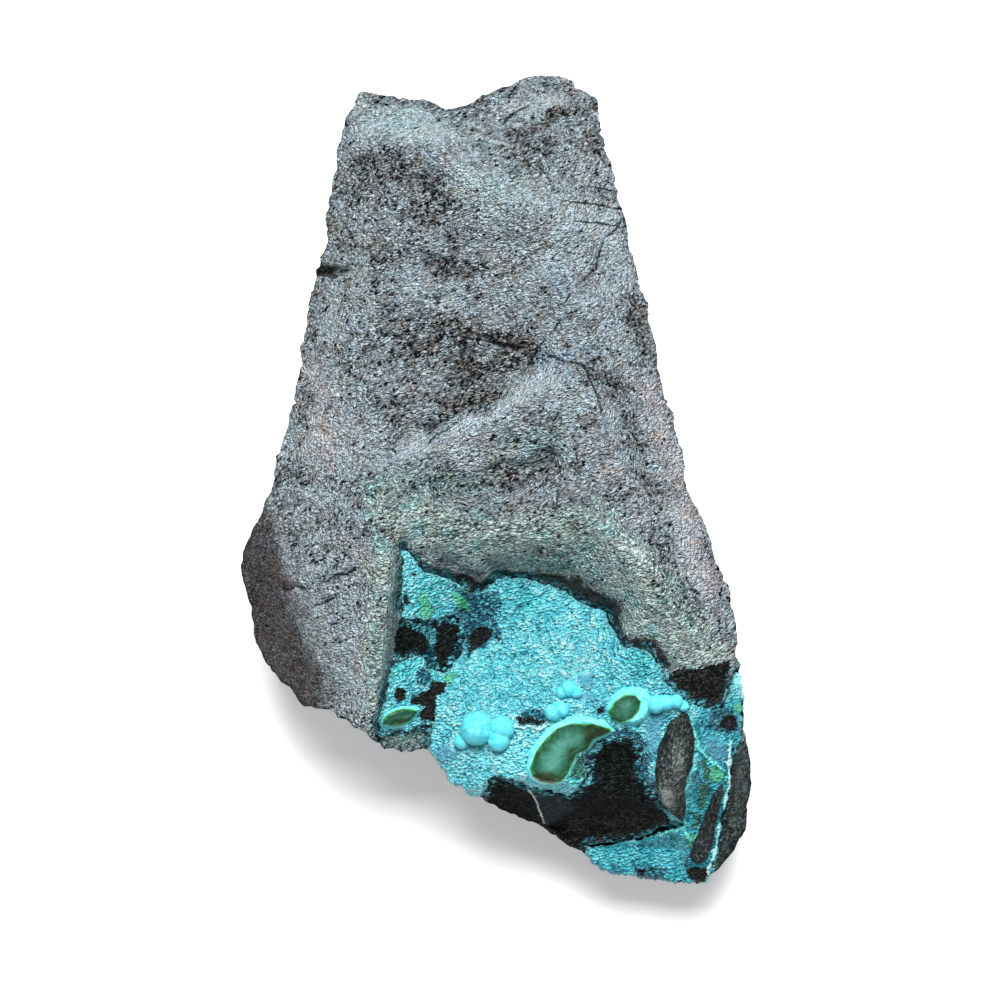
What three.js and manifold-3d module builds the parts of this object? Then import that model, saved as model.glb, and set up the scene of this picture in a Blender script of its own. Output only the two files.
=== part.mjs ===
// A chrysocolla and malachite specimen, lying on its back with the mineral face up.
//
// A tapering piece of grey dolomite has broken across a lined hollow at its wide end. A druse of blue
// chrysocolla coats the hollow and carries smooth pale balls. Three nodules of malachite, broken open, are
// set in the druse, and two slivers of rock stand in it where the wall shattered before the minerals grew.
//
// Millimetres. +X is across the stone, +Y runs up to its narrow end and +Z is up, out of the mineral face.
// The origin is on the surface that the stone rests on, below the middle of its outline.

import * as THREE from "three";
import { mergeVertices } from "three/addons/utils/BufferGeometryUtils.js";
import Module from "manifold-3d";

const wasm = await Module();
wasm.setup();

// Driving dimensions
const LENGTH = 91.3; // narrow end to lowest corner
const WIDTH = 57.3; // across the wide end
const BACK_LEVEL = 3; // heights listed below are above this level, where the sides curve in to the back
const FIT_GAP = 0.3; // between a piece and the rock that it is set in
const CRUST_THICKNESS = 1.1; // the druse, rock to crystal tips
const NODULE_DEPTH = 2.4; // how far a nodule reaches below the druse's surface
const SLIVER_DEPTH = 3.2; // how far a sliver of rock reaches below it
const ABOVE_ALL = 32; // a height over every point of the stone
const BELOW_ALL = -2; // a height under every point of the stone

// Facet sizes
const ROCK_GRID = 2.3;
const HOLLOW_GRID = 1.8; // the rock near the hollow
const DRUSE_GRID = 1.7;
const BED_GRID = 2.9; // under the druse
const NODULE_GRID = 1.1;
const BACK_GRID = 7;

// The stone's outline seen from above, counter-clockwise from the upper left corner.
const OUTLINE = [
  [-15.5, 44.0], [-16.9, 39.9], [-18.0, 36.3], [-18.7, 32.9], [-19.2, 29.2], [-19.0, 27.8],
  [-20.0, 24.5], [-20.8, 21.1], [-21.4, 17.7], [-21.3, 16.0], [-22.0, 12.7], [-22.7, 9.3],
  [-23.4, 5.9], [-24.6, 2.5], [-25.4, -0.8], [-26.6, -4.2], [-28.2, -7.6], [-28.7, -9.4],
  [-28.1, -11.9], [-27.3, -16.0], [-27.0, -17.7], [-25.1, -21.1], [-23.3, -22.8], [-21.7, -24.7],
  [-17.5, -25.9], [-14.6, -27.8], [-12.5, -29.5], [-9.7, -30.1], [-7.6, -29.3], [-6.3, -31.1],
  [-4.6, -33.3], [-1.3, -35.7], [2.6, -37.5], [5.4, -39.2], [8.2, -41.4], [10.1, -42.1],
  [12.7, -44.2], [15.5, -44.6], [19.3, -45.1], [23.3, -45.6], [24.6, -44.4], [26.7, -41.4],
  [27.9, -38.8], [28.6, -34.7], [28.6, -30.4], [27.9, -28.0], [27.8, -24.9], [27.2, -21.0],
  [26.6, -19.2], [25.9, -14.3], [24.5, -8.7], [22.9, -4.2], [21.4, -0.8], [20.6, 3.7], [19.8, 7.6],
  [18.6, 11.0], [18.0, 14.3], [17.1, 19.4], [16.0, 22.8], [14.6, 27.8], [13.9, 31.2], [12.9, 34.6],
  [12.1, 38.0], [11.7, 41.0], [11.2, 42.5], [9.8, 44.0], [7.8, 44.9], [5.5, 45.7], [2.7, 45.4],
  [-0.7, 43.9], [-3.1, 42.6], [-5.2, 42.1], [-7.4, 42.6], [-10.8, 43.3],
];

// The line along the middle of the stone that its sides lean in towards.
const SPINE = { x: 0.5, low: -26, high: 34 };

// How far the sides are tucked in, against the height as a share of the face's height above them.
const SIDE_PROFILE = [
  { share: 0, tuck: 5.4 },
  { share: 0.12, tuck: 2.9 },
  { share: 0.3, tuck: 1.1 },
  { share: 0.5, tuck: 0 },
  { share: 0.85, tuck: 0.3 },
];

// Heights of the grey rock's face, as [x, y, z].
const FACE_SPOTS = [
  [-15, 42, 12.5], [-9, 41, 14.2], [-5, 40, 14.6], [0, 41.5, 14.4], [5, 43.5, 13.2], [10, 41, 13.0],
  [-17.5, 36, 12.6], [-10, 36, 16.2], [-3, 36, 16.6], [4, 37, 17.2], [11, 37, 14.2],
  [-18.5, 28, 12.6], [-12, 28, 16.4], [-3, 28, 17.4], [6, 28, 18.2], [13, 28, 14.6],
  [-20.5, 19, 12.6], [-14, 19, 17.0], [-5, 20, 17.4], [3, 20, 17.8], [10, 20, 18.6], [15.5, 20, 15.0],
  [-21.5, 12, 12.6], [-15, 11, 17.8], [-4, 13.5, 17.0], [3, 15, 17.8], [10, 12, 19.6], [17.3, 11, 15.6],
  [-23, 4.5, 12.6], [-16, 4, 18.6], [-8, 5.5, 19.0], [-1, 7.5, 20.0], [5, 10, 20.2], [12, 4, 20.6],
  [19.3, 4, 16.2], [2.5, 1.5, 19.8], [-12.5, -2, 21.4], [-6, -2.2, 21.2], [0, -3.3, 21.4],
  [7, -3.3, 21.6], [13, -4, 21.4], [-18, -4, 19.0], [-25, -3, 13.6], [-13, -9, 22.0],
  [-13.8, -18, 20.8], [-14.3, -25.5, 18.4], [-18.5, -10, 19.4], [-23, -10, 17.0], [-18, -18, 18.6],
  [-17, -23, 16.8], [17, -9, 21.2], [21.5, -14, 20.2], [23.4, -6, 16.8], [25.4, -16, 17.6],
  [26, -19, 17.2], [20, -19.5, 19.6],
];

// Ridges and furrows on the grey face. A furrow's height is below 0.
const CREASES = [
  { from: [-7, 3.4], to: [8.6, 15.4], height: 0.9, width: 2.4 },
  { from: [-9, 10.5], to: [5, 18.5], height: -0.8, width: 3.2 },
  { from: [-4.6, -2.6], to: [12.6, -3], height: 0.5, width: 0.9 },
  { from: [-3.6, 0.6], to: [12, 0.2], height: -0.7, width: 1.3 },
  { from: [-1, 4.4], to: [8, 3.2], height: -0.5, width: 1.2 },
  { from: [11.5, -4.6], to: [21, -16.6], height: 0.6, width: 1.5 },
  { from: [-12.4, -3], to: [-14.6, -26.6], height: 0.7, width: 1.5 },
  { from: [-8.5, 20], to: [-13.5, 33], height: -0.6, width: 2.2 },
  { from: [3, 27], to: [0.5, 40], height: 0.6, width: 2.6 },
  { from: [-15.4, 44.4], to: [-6, 42.3], height: -2.6, width: 0.9 },
  { from: [-20.2, 27.9], to: [-17.4, 27.2], height: -1.4, width: 0.7 },
];

// Heights of the hollow's floor, as [x, y, z].
const FLOOR_SPOTS = [
  [-10.2, -7.2, 18.6], [-7.9, -12.9, 15.8], [-10.7, -17.3, 15.8], [-5.5, -18.4, 13.8],
  [-3, -13.5, 13.8], [-11, -23, 15.8], [-13, -28, 14.6], [-7.8, -28, 14.0], [1.4, -11.3, 14.4],
  [6.9, -12, 14.0], [6.9, -17.3, 15.2], [11.9, -15.1, 14.4], [11.3, -21.7, 16.6], [-1.9, -22.8, 15.2],
  [-4.6, -25.6, 15.2], [2.5, -25.2, 16.4], [-5.7, -29.6, 14.8], [0.3, -30, 17.0], [5.3, -27.8, 17.6],
  [10.2, -25.6, 17.8], [15.7, -22.8, 17.4], [17, -19, 18.0], [17.9, -23.9, 17.0], [15.7, -28.9, 16.8],
  [-2, -33.5, 14.8], [4, -36, 16.2], [12, -31.4, 15.6], [18, -33, 16.4], [10, -37, 16.0], [21, -31, 16.6],
  [22, -26.5, 15.6], [24.4, -29, 13.8], [26.8, -24, 13.8], [27.6, -28.6, 12.8], [22.8, -36, 12.0],
  [26.6, -35, 11.4], [25, -41, 8.8],
];

// Where the grey face starts to roll down into the hollow.
const RIM = [
  [-15.4, -50], [-14.6, -30.7], [-13.6, -24], [-12.8, -17.4], [-12.2, -11.9], [-11.9, -4.1], [-10.6, -2.5],
  [-7.3, -3.3], [-2.9, -4.1], [2.7, -4.6], [8.2, -4.7], [11.5, -5.2], [14.8, -9.5], [17.4, -14],
  [19.6, -18], [20.9, -20.1], [22.9, -20.3], [25.4, -19.2], [26.6, -17.6], [34, -16.5], [34, -50],
];

// Where that wall reaches the hollow's floor.
const FOOT = [
  [-14.2, -50], [-13.3, -28], [-12.6, -24.3], [-11.7, -19.7], [-10.9, -13.1], [-10.5, -9.2], [-10.2, -7],
  [-8.3, -9.4], [-5.1, -10.5], [-1.3, -12], [0, -10.5], [3.1, -10.5], [6.5, -11.4], [8.9, -12.8],
  [10.4, -13.7], [12.6, -14.5], [14.1, -18.3], [16.7, -18.2], [18.4, -20.6], [18.8, -22.1],
  [20.3, -23.6], [22, -24.7], [24.2, -25.2], [25.4, -24.9], [26.2, -22.6], [27.2, -20.6], [33, -20],
  [33, -50],
];

// Broken faces. Each is a point on the break, the way it falls away from that point, and its slope.
const LEFT_BREAK = { x: -21.9, y: -12, z: 17.2, fallX: -0.96, fallY: -0.29, slope: 1.05 };
const LOWER_BREAK = { x: 8, y: -33.4, z: 16.7, fallX: -0.12, fallY: -0.99, slope: 1.2 };
const LOWER_SHELF = { x: 15, y: -41, z: 8.8, fallX: -0.1, fallY: -0.99, slope: 0.45 };
const RIGHT_BREAK = { x: 27, y: -33, z: 11.8, fallX: 0.95, fallY: -0.3, slope: 1.3 };

// The back is broken away from the surface that the stone rests on, past these lines.
const BACK_BREAKS = [
  { x: -3, y: 28, z: 0, fallX: -0.25, fallY: -0.97, slope: 0.42 },
  { x: -17, y: -14, z: 0, fallX: 0.86, fallY: 0.51, slope: 0.62 },
  { x: 19, y: -31, z: 0, fallX: -0.5, fallY: 0.87, slope: 0.5 },
  { x: 14, y: 6, z: 0, fallX: -0.97, fallY: -0.24, slope: 0.7 },
  { x: 4, y: -30, z: 0, fallX: 0.35, fallY: 0.94, slope: 0.55 },
];

// What the druse covers, seen from above. It runs off the stone where the break cuts it.
const DRUSE = [
  [-10.2, -7.1], [-10.5, -9.2], [-10.8, -13.1], [-10.5, -15.3], [-8, -15.6], [-5.5, -14.7],
  [-3.6, -15.3], [-3.8, -18.7], [-5.5, -21.1], [-7.4, -20.9], [-7.9, -19.6], [-9.6, -19.4],
  [-11.4, -19.7], [-12.2, -21.9], [-12.7, -24.5], [-13.4, -26.7], [-13.2, -28.0], [-10.7, -27.9],
  [-7.6, -27.3], [-6.7, -28.2], [-7.6, -29.8], [-8.2, -34.3], [-0.4, -36.4], [-0.9, -33.5],
  [0.2, -32.8], [2.7, -33.5], [3.6, -34.2], [8, -35], [10.2, -34.2], [11.0, -32.1], [11.6, -29.8],
  [12.7, -28.3], [15.6, -28.3], [16.1, -32.1], [17, -34.3], [18.5, -35.4], [19.6, -37.7], [21, -38.8],
  [18.3, -39.3], [16.1, -40.5], [12.9, -40.9], [10.3, -41.3], [9.4, -46.5], [23.2, -47.6],
  [24.2, -43.5], [25, -40.8], [26.1, -35.4], [26.6, -31.5], [27.5, -28.5], [31.1, -28.2],
  [31.1, -19.9], [27.2, -20.6], [26.2, -22.6], [25.4, -24.9], [24.2, -25.2], [22, -24.7],
  [20.3, -23.6], [18.8, -22.1], [18.4, -20.6], [16.7, -18.2], [14.1, -18.3], [12.6, -14.5],
  [10.4, -13.7], [8.9, -12.8], [6.5, -11.4], [3.1, -10.5], [0, -10.5], [-1.3, -12], [-2.9, -12.2],
  [-5.1, -10.5], [-8.3, -9.4],
];

// A slit in the druse above the lip, open into the rock below.
const SLIT = [
  [2.0, -26.9], [5.4, -26.9], [5.6, -26.1], [5.0, -25.7], [2.3, -25.9],
];
const SLIT_DEPTH = 4;

// Chrysocolla balls on the druse, as [x, y, radius].
const BALLS = [
  [-2.1, -27.3, 1.9], [0.7, -27.3, 1.4], [0.3, -28.6, 1.25], [-3.8, -28.8, 0.9], [8.1, -23, 1.2],
  [6.7, -25.4, 1.1], [17.9, -24.9, 1.0], [19.3, -24.6, 0.9],
];
const BALL_LIFT = 0.45; // of the radius, from the druse's surface to a ball's centre
const FINE_BALL_RADIUS = 1.15; // a larger ball has more facets

// Nodules of malachite broken open: points of the rim, and how far the broken face stands out.
const NODULES = {
  malachite_kidney: {
    rim: [
      [13.4, -27.6], [12.2, -26.3], [10.2, -25.8], [8, -25.9], [6.1, -26.7], [4.7, -28.1],
      [3.6, -29.9], [3.2, -31.9], [3.9, -33.4], [5.8, -34.1], [7.3, -34.3], [8.8, -34.0], [10.3, -33.2],
      [10.2, -31.3], [10.6, -30.1], [11.8, -29.0],
    ],
    proud: 0.9,
  },
  malachite_round: {
    rim: [
      [17.6, -24.1], [16.8, -22.9], [15.4, -22.5], [13.9, -22.8], [12.7, -23.8], [12.2, -25.2],
      [12.6, -26.4], [13.8, -27.1], [15.2, -27.2], [16.7, -26.5], [17.5, -25.4],
    ],
    proud: 1.3,
  },
  malachite_lens: {
    rim: [
      [-13, -26.8], [-11.8, -27.3], [-10.3, -27.2], [-9.2, -26.6], [-8.5, -25.5], [-10.7, -25.4],
      [-12.2, -25.8],
    ],
    proud: 0.4,
  },
};
const RIM_ROUNDING = 0.9; // how far in from its edge a nodule curves up to its broken face

// Slivers of rock standing in the druse.
const SLIVERS = {
  rock_sliver_lens: {
    rim: [
      [20.9, -25.4], [19.2, -26.6], [18, -29.5], [17.7, -31.9], [17.8, -33.9], [18.5, -35.7],
      [19.5, -37], [21, -38.3], [21.3, -36.9], [21.2, -35.2], [21.3, -33], [22, -31.4], [22.1, -29.6],
      [22.1, -28], [21.7, -26.5],
    ],
    proud: 1.1,
  },
  rock_sliver_dark: {
    rim: [
      [25.6, -34.2], [24.5, -35.4], [23.6, -38], [22.6, -41], [22.4, -42.4], [23.1, -42.9],
      [23.9, -42.5], [24.3, -41.2], [24.9, -38], [25.6, -35.5],
    ],
    proud: 0.5,
  },
};
const BREAK_ROUNDING = 0.35; // how far in from its edge a sliver's face starts

const GREY_ROCK = { color: 0x848b8f, roughness: 0.9 };
const DARK_ROCK = { color: 0x3d3733, roughness: 0.85 };
const CHRYSOCOLLA = { color: 0x58bfd0, roughness: 0.6 };
const MALACHITE = { color: 0x3f8a5c, roughness: 0.4 };

function gridLine(low, high, spacing) {
  const steps = Math.ceil((high - low) / spacing);
  return Array.from({ length: steps + 1 }, (_, i) => low + ((high - low) * i) / steps);
}

// Distance from a point to the stretch between a and b.
function stretchDistance(x, y, [ax, ay], [bx, by]) {
  const along = ((x - ax) * (bx - ax) + (y - ay) * (by - ay)) / ((bx - ax) ** 2 + (by - ay) ** 2);
  const share = THREE.MathUtils.clamp(along, 0, 1);
  return Math.hypot(x - ax - share * (bx - ax), y - ay - share * (by - ay));
}

// Signed distance from a polygon in the plane, negative inside.
function edgeDistance(x, y, polygon) {
  let nearest = Infinity;
  let inside = false;
  polygon.forEach(([ax, ay], i) => {
    const [bx, by] = polygon[(i + 1) % polygon.length];
    nearest = Math.min(nearest, stretchDistance(x, y, [ax, ay], [bx, by]));
    if (ay > y !== by > y && x < ax + ((y - ay) / (by - ay)) * (bx - ax)) inside = !inside;
  });
  return inside ? -nearest : nearest;
}

// The thin-plate surface through a list of spot heights, as a function of x and y.
function surfaceThrough(spots) {
  const bend = (dx, dy) => {
    const square = dx * dx + dy * dy;
    return square === 0 ? 0 : square * Math.log(square);
  };
  const n = spots.length;
  const rows = Array.from({ length: n + 3 }, (_, i) => {
    if (i >= n) return [...spots.map(([x, y]) => [1, x, y][i - n]), 0, 0, 0, 0];
    const [x, y, z] = spots[i];
    return [...spots.map(([sx, sy]) => bend(x - sx, y - sy)), 1, x, y, z];
  });
  // Gauss-Jordan elimination, with the largest pivot of each column
  rows.forEach((_, i) => {
    const best = rows.reduce((b, row, j) => (j > i && Math.abs(row[i]) > Math.abs(rows[b][i]) ? j : b), i);
    [rows[i], rows[best]] = [rows[best], rows[i]];
    rows.forEach((row, j) => {
      if (j === i) return;
      const factor = row[i] / rows[i][i];
      row.forEach((_value, k) => (row[k] -= factor * rows[i][k]));
    });
  });
  const weights = rows.map((row, i) => row[n + 3] / row[i]);
  return (x, y) => {
    const bent = spots.reduce((sum, [sx, sy], i) => sum + weights[i] * bend(x - sx, y - sy), 0);
    return bent + weights[n] + weights[n + 1] * x + weights[n + 2] * y;
  };
}

function breakHeight({ x: bx, y: by, z, fallX, fallY, slope }, x, y) {
  return z - slope * ((x - bx) * fallX + (y - by) * fallY);
}

function creaseHeight(x, y) {
  return CREASES.reduce((sum, { from, to, height, width }) => {
    return sum + height * Math.exp(-((stretchDistance(x, y, from, to) / width) ** 2));
  }, 0);
}

// The uneven weathered skin of the grey rock.
function weathering(x, y) {
  const broad = Math.sin(0.9 * x + 0.35 * y + 1.3) * Math.sin(0.62 * y - 0.4 * x + 0.4);
  const fine = Math.sin(1.7 * x - 0.8 * y) * Math.sin(1.5 * y + 0.9 * x + 2.1);
  return 0.22 * broad + 0.16 * fine;
}

const greyFace = surfaceThrough(FACE_SPOTS);
const floorThrough = surfaceThrough(FLOOR_SPOTS);

// The hollow's floor, its lip and the broken faces that cut the lower end.
function floorHeight(x, y) {
  const lower = Math.max(breakHeight(LOWER_BREAK, x, y), breakHeight(LOWER_SHELF, x, y));
  return Math.min(floorThrough(x, y), lower, breakHeight(RIGHT_BREAK, x, y));
}

// The whole upper surface: the grey face, the wall down into the hollow and the hollow's floor.
function faceHeight(x, y) {
  const floor = BACK_LEVEL + floorHeight(x, y);
  const fromFoot = edgeDistance(x, y, FOOT);
  if (fromFoot <= 0) return floor;
  const weathered = greyFace(x, y) + creaseHeight(x, y) + weathering(x, y);
  const grey = BACK_LEVEL + Math.min(weathered, breakHeight(LEFT_BREAK, x, y));
  const fromRim = edgeDistance(x, y, RIM);
  if (fromRim >= 0) return grey;
  // Steepest at the foot, level at the rim
  const share = Math.sin((Math.PI / 2) * (fromFoot / (fromFoot - fromRim)));
  return THREE.MathUtils.lerp(floor, grey, share);
}

// The back: flat where the stone rests, and higher past each break.
function backHeight(x, y) {
  return Math.max(BELOW_ALL / 2, ...BACK_BREAKS.map((plane) => breakHeight(plane, x, y)));
}

// The sides are tucked in by different amounts round the stone.
function tuckShare(x, y) {
  return 1 + 0.32 * Math.sin(0.19 * x + 0.11 * y + 1) + 0.22 * Math.sin(0.31 * y - 0.12 * x + 2);
}

function solidFrom(geometry) {
  const bare = new THREE.BufferGeometry().setAttribute("position", geometry.getAttribute("position"));
  bare.setIndex(geometry.index);
  const merged = mergeVertices(bare, 1e-4);
  return new wasm.Manifold(
    new wasm.Mesh({
      numProp: 3,
      vertProperties: merged.getAttribute("position").array,
      triVerts: new Uint32Array(merged.index.array),
    }),
  );
}

// The solid's largest piece as a geometry, without crumbs that a cut leaves.
function geometryFrom(solid) {
  const largest = solid.decompose().reduce((a, b) => (b.volume() > a.volume() ? b : a));
  const { vertProperties, triVerts } = largest.getMesh();
  const geometry = new THREE.BufferGeometry();
  geometry.setAttribute("position", new THREE.BufferAttribute(vertProperties, 3));
  geometry.setIndex(new THREE.BufferAttribute(triVerts, 1));
  geometry.computeVertexNormals();
  return geometry;
}

// A closed solid from rings of points, each ring counter-clockwise seen from above, lowest ring first.
function ringSolid(rings) {
  const count = rings[0].length;
  const triangles = [];
  for (let r = 0; r + 1 < rings.length; r++) {
    for (let i = 0; i < count; i++) {
      const [a, b] = [r * count + i, r * count + ((i + 1) % count)];
      triangles.push(a, b, b + count, a, b + count, a + count);
    }
  }
  const cap = (ring) => THREE.ShapeUtils.triangulateShape(ring.map(([x, y]) => new THREE.Vector2(x, y)), []);
  const top = (rings.length - 1) * count;
  cap(rings[0]).forEach(([a, b, c]) => triangles.push(a, c, b));
  cap(rings.at(-1)).forEach(([a, b, c]) => triangles.push(top + a, top + b, top + c));
  const geometry = new THREE.BufferGeometry();
  geometry.setAttribute("position", new THREE.Float32BufferAttribute(rings.flat(2), 3));
  return solidFrom(geometry.setIndex(triangles));
}

// The solid between two height functions over a grid.
function layer(xs, ys, below, above) {
  const across = xs.length;
  const upper = across * ys.length;
  const triangles = [];
  for (let j = 0; j + 1 < ys.length; j++) {
    for (let i = 0; i + 1 < across; i++) {
      const a = j * across + i;
      const [b, c, d] = [a + 1, a + across + 1, a + across];
      triangles.push(a, c, b, a, d, c);
      triangles.push(upper + a, upper + b, upper + c, upper + a, upper + c, upper + d);
    }
  }
  const border = [
    ...xs.map((_, i) => i),
    ...ys.slice(1).map((_, j) => (j + 2) * across - 1),
    ...xs.slice(1).map((_, i) => upper - 2 - i),
    ...ys.slice(1, -1).map((_, j) => (ys.length - 2 - j) * across),
  ];
  border.forEach((a, i) => {
    const b = border[(i + 1) % border.length];
    triangles.push(a, b, upper + b, a, upper + b, upper + a);
  });
  const sheet = (height) => ys.flatMap((y) => xs.flatMap((x) => [x, y, height(x, y)]));
  const geometry = new THREE.BufferGeometry();
  const positions = [...sheet(below), ...sheet(above)];
  geometry.setAttribute("position", new THREE.Float32BufferAttribute(positions, 3));
  return solidFrom(geometry.setIndex(triangles));
}

// An upright prism over a polygon, with its sides moved out by grow.
function prism(polygon, grow = 0) {
  const corners = polygon.map(([x, y], i) => {
    const [ax, ay] = polygon.at(i - 1);
    const [bx, by] = polygon[(i + 1) % polygon.length];
    const length = Math.hypot(bx - ax, by - ay);
    return new THREE.Vector2(x + (grow * (by - ay)) / length, y - (grow * (bx - ax)) / length);
  });
  const depth = ABOVE_ALL - BELOW_ALL;
  const upright = new THREE.ExtrudeGeometry(new THREE.Shape(corners), { depth, bevelEnabled: false });
  return solidFrom(upright.translate(0, 0, BELOW_ALL));
}

// A grid that covers a polygon and a margin round it.
function gridOver(polygon, spacing) {
  const margin = 1;
  return [0, 1].map((axis) => {
    const values = polygon.map((point) => point[axis]);
    return gridLine(Math.min(...values) - margin, Math.max(...values) + margin, spacing);
  });
}

// All that lies over a polygon and above the face lowered by depth.
function pocket(polygon, depth, grow, spacing) {
  const [xs, ys] = gridOver(polygon, spacing);
  const room = layer(xs, ys, (x, y) => faceHeight(x, y) - depth, () => ABOVE_ALL + 1);
  return room.intersect(prism(polygon, grow));
}

// A point of the outline moved in towards the spine until it is the given distance inside.
function tuckedIn([x, y], distance) {
  const [sx, sy] = [SPINE.x, THREE.MathUtils.clamp(y, SPINE.low, SPINE.high)];
  let [near, far] = [0, 1];
  for (let halving = 0; halving < 24; halving++) {
    const middle = (near + far) / 2;
    if (edgeDistance(x + (sx - x) * middle, y + (sy - y) * middle, OUTLINE) > -distance) near = middle;
    else far = middle;
  }
  return [x + (sx - x) * near, y + (sy - y) * near];
}

// The stone's sides, from the flat it rests on to above the highest point of the face.
function sideShell() {
  const ring = (tuck, height) =>
    OUTLINE.map(([x, y]) => [...tuckedIn([x, y], tuck * tuckShare(x, y)), height(x, y)]);
  const rings = SIDE_PROFILE.map(({ share, tuck }) => ring(tuck, (x, y) => share * faceHeight(x, y)));
  rings.push(ring(SIDE_PROFILE.at(-1).tuck, () => ABOVE_ALL));
  return ringSolid(rings);
}

const sides = sideShell();

function hostRock() {
  const edge = 2;
  const xs = gridLine(-WIDTH / 2 - edge, WIDTH / 2 + edge, HOLLOW_GRID);
  const ys = [
    ...gridLine(-LENGTH / 2 - edge, -1, HOLLOW_GRID).slice(0, -1),
    ...gridLine(-1, LENGTH / 2 + edge, ROCK_GRID),
  ];
  const backXs = gridLine(-WIDTH / 2 - edge, WIDTH / 2 + edge, BACK_GRID);
  const backYs = gridLine(-LENGTH / 2 - edge, LENGTH / 2 + edge, BACK_GRID);
  const underFace = layer(xs, ys, () => BELOW_ALL, faceHeight);
  const overBack = layer(backXs, backYs, backHeight, () => ABOVE_ALL + 1);
  let rock = sides.intersect(underFace).intersect(overBack);
  rock = rock.subtract(pocket(DRUSE, CRUST_THICKNESS + FIT_GAP, FIT_GAP, BED_GRID));
  Object.values(NODULES).forEach(({ rim }) => {
    rock = rock.subtract(pocket(rim, NODULE_DEPTH + FIT_GAP, FIT_GAP, NODULE_GRID));
  });
  Object.values(SLIVERS).forEach(({ rim }) => {
    rock = rock.subtract(pocket(rim, SLIVER_DEPTH + FIT_GAP, FIT_GAP, NODULE_GRID));
  });
  return rock.subtract(pocket(SLIT, SLIT_DEPTH, 0, BED_GRID));
}

function ball([x, y, radius]) {
  const sphere = new THREE.IcosahedronGeometry(radius, radius > FINE_BALL_RADIUS ? 2 : 1);
  return solidFrom(sphere.translate(x, y, faceHeight(x, y) + BALL_LIFT * radius));
}

function druse() {
  const [xs, ys] = gridOver(DRUSE, DRUSE_GRID);
  let crust = layer(xs, ys, () => BELOW_ALL, faceHeight).subtract(prism(SLIT));
  BALLS.forEach((spot) => {
    crust = crust.add(ball(spot));
  });
  crust = crust.intersect(pocket(DRUSE, CRUST_THICKNESS, 0, BED_GRID)).intersect(sides);
  [...Object.values(NODULES), ...Object.values(SLIVERS)].forEach(({ rim }) => {
    crust = crust.subtract(prism(rim, FIT_GAP));
  });
  return crust;
}

// A body set in the hollow: its face stands out over the druse and rounds down to its edge.
function setPiece({ rim, proud }, depth, rounding) {
  const [xs, ys] = gridOver(rim, NODULE_GRID);
  const face = (x, y) => {
    const inward = THREE.MathUtils.clamp(-edgeDistance(x, y, rim) / rounding, 0, 1);
    return faceHeight(x, y) + proud * (1 - (1 - inward) ** 2);
  };
  return layer(xs, ys, (x, y) => faceHeight(x, y) - depth, face).intersect(prism(rim));
}

function pieceMesh(name, solid, finish) {
  const mesh = new THREE.Mesh(geometryFrom(solid), new THREE.MeshStandardMaterial(finish));
  mesh.name = name;
  return mesh;
}

const specimen = new THREE.Group();
specimen.add(pieceMesh("host_rock", hostRock(), GREY_ROCK));
specimen.add(pieceMesh("chrysocolla_druse", druse(), CHRYSOCOLLA));
Object.entries(NODULES).forEach(([name, nodule]) => {
  specimen.add(pieceMesh(name, setPiece(nodule, NODULE_DEPTH, RIM_ROUNDING), MALACHITE));
});
Object.entries(SLIVERS).forEach(([name, sliver]) => {
  specimen.add(pieceMesh(name, setPiece(sliver, SLIVER_DEPTH, BREAK_ROUNDING), DARK_ROCK));
});
export default specimen;
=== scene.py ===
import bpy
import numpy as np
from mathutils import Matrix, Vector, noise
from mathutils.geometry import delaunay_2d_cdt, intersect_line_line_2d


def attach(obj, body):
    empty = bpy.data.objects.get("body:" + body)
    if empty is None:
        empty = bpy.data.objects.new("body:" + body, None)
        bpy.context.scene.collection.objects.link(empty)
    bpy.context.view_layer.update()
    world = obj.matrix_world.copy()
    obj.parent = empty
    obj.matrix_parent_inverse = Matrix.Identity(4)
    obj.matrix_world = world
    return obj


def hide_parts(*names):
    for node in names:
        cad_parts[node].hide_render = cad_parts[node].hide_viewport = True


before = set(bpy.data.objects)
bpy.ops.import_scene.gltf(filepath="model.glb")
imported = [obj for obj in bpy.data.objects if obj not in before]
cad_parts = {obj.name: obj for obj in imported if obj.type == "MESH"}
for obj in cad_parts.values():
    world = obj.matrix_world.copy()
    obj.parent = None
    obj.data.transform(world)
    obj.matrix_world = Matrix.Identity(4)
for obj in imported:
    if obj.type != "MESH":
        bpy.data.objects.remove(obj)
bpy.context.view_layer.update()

# The grey rock is one tapering piece of fine-grained dolomite, weathered to a pitted blue-grey skin and
# broken across a lined hollow at its wide end, where the fresh rock is nearly black. It lies on its back,
# on the stretch of its worn underside that is flat.

MM = 0.001
BACK_LEVEL = 3.0

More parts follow.
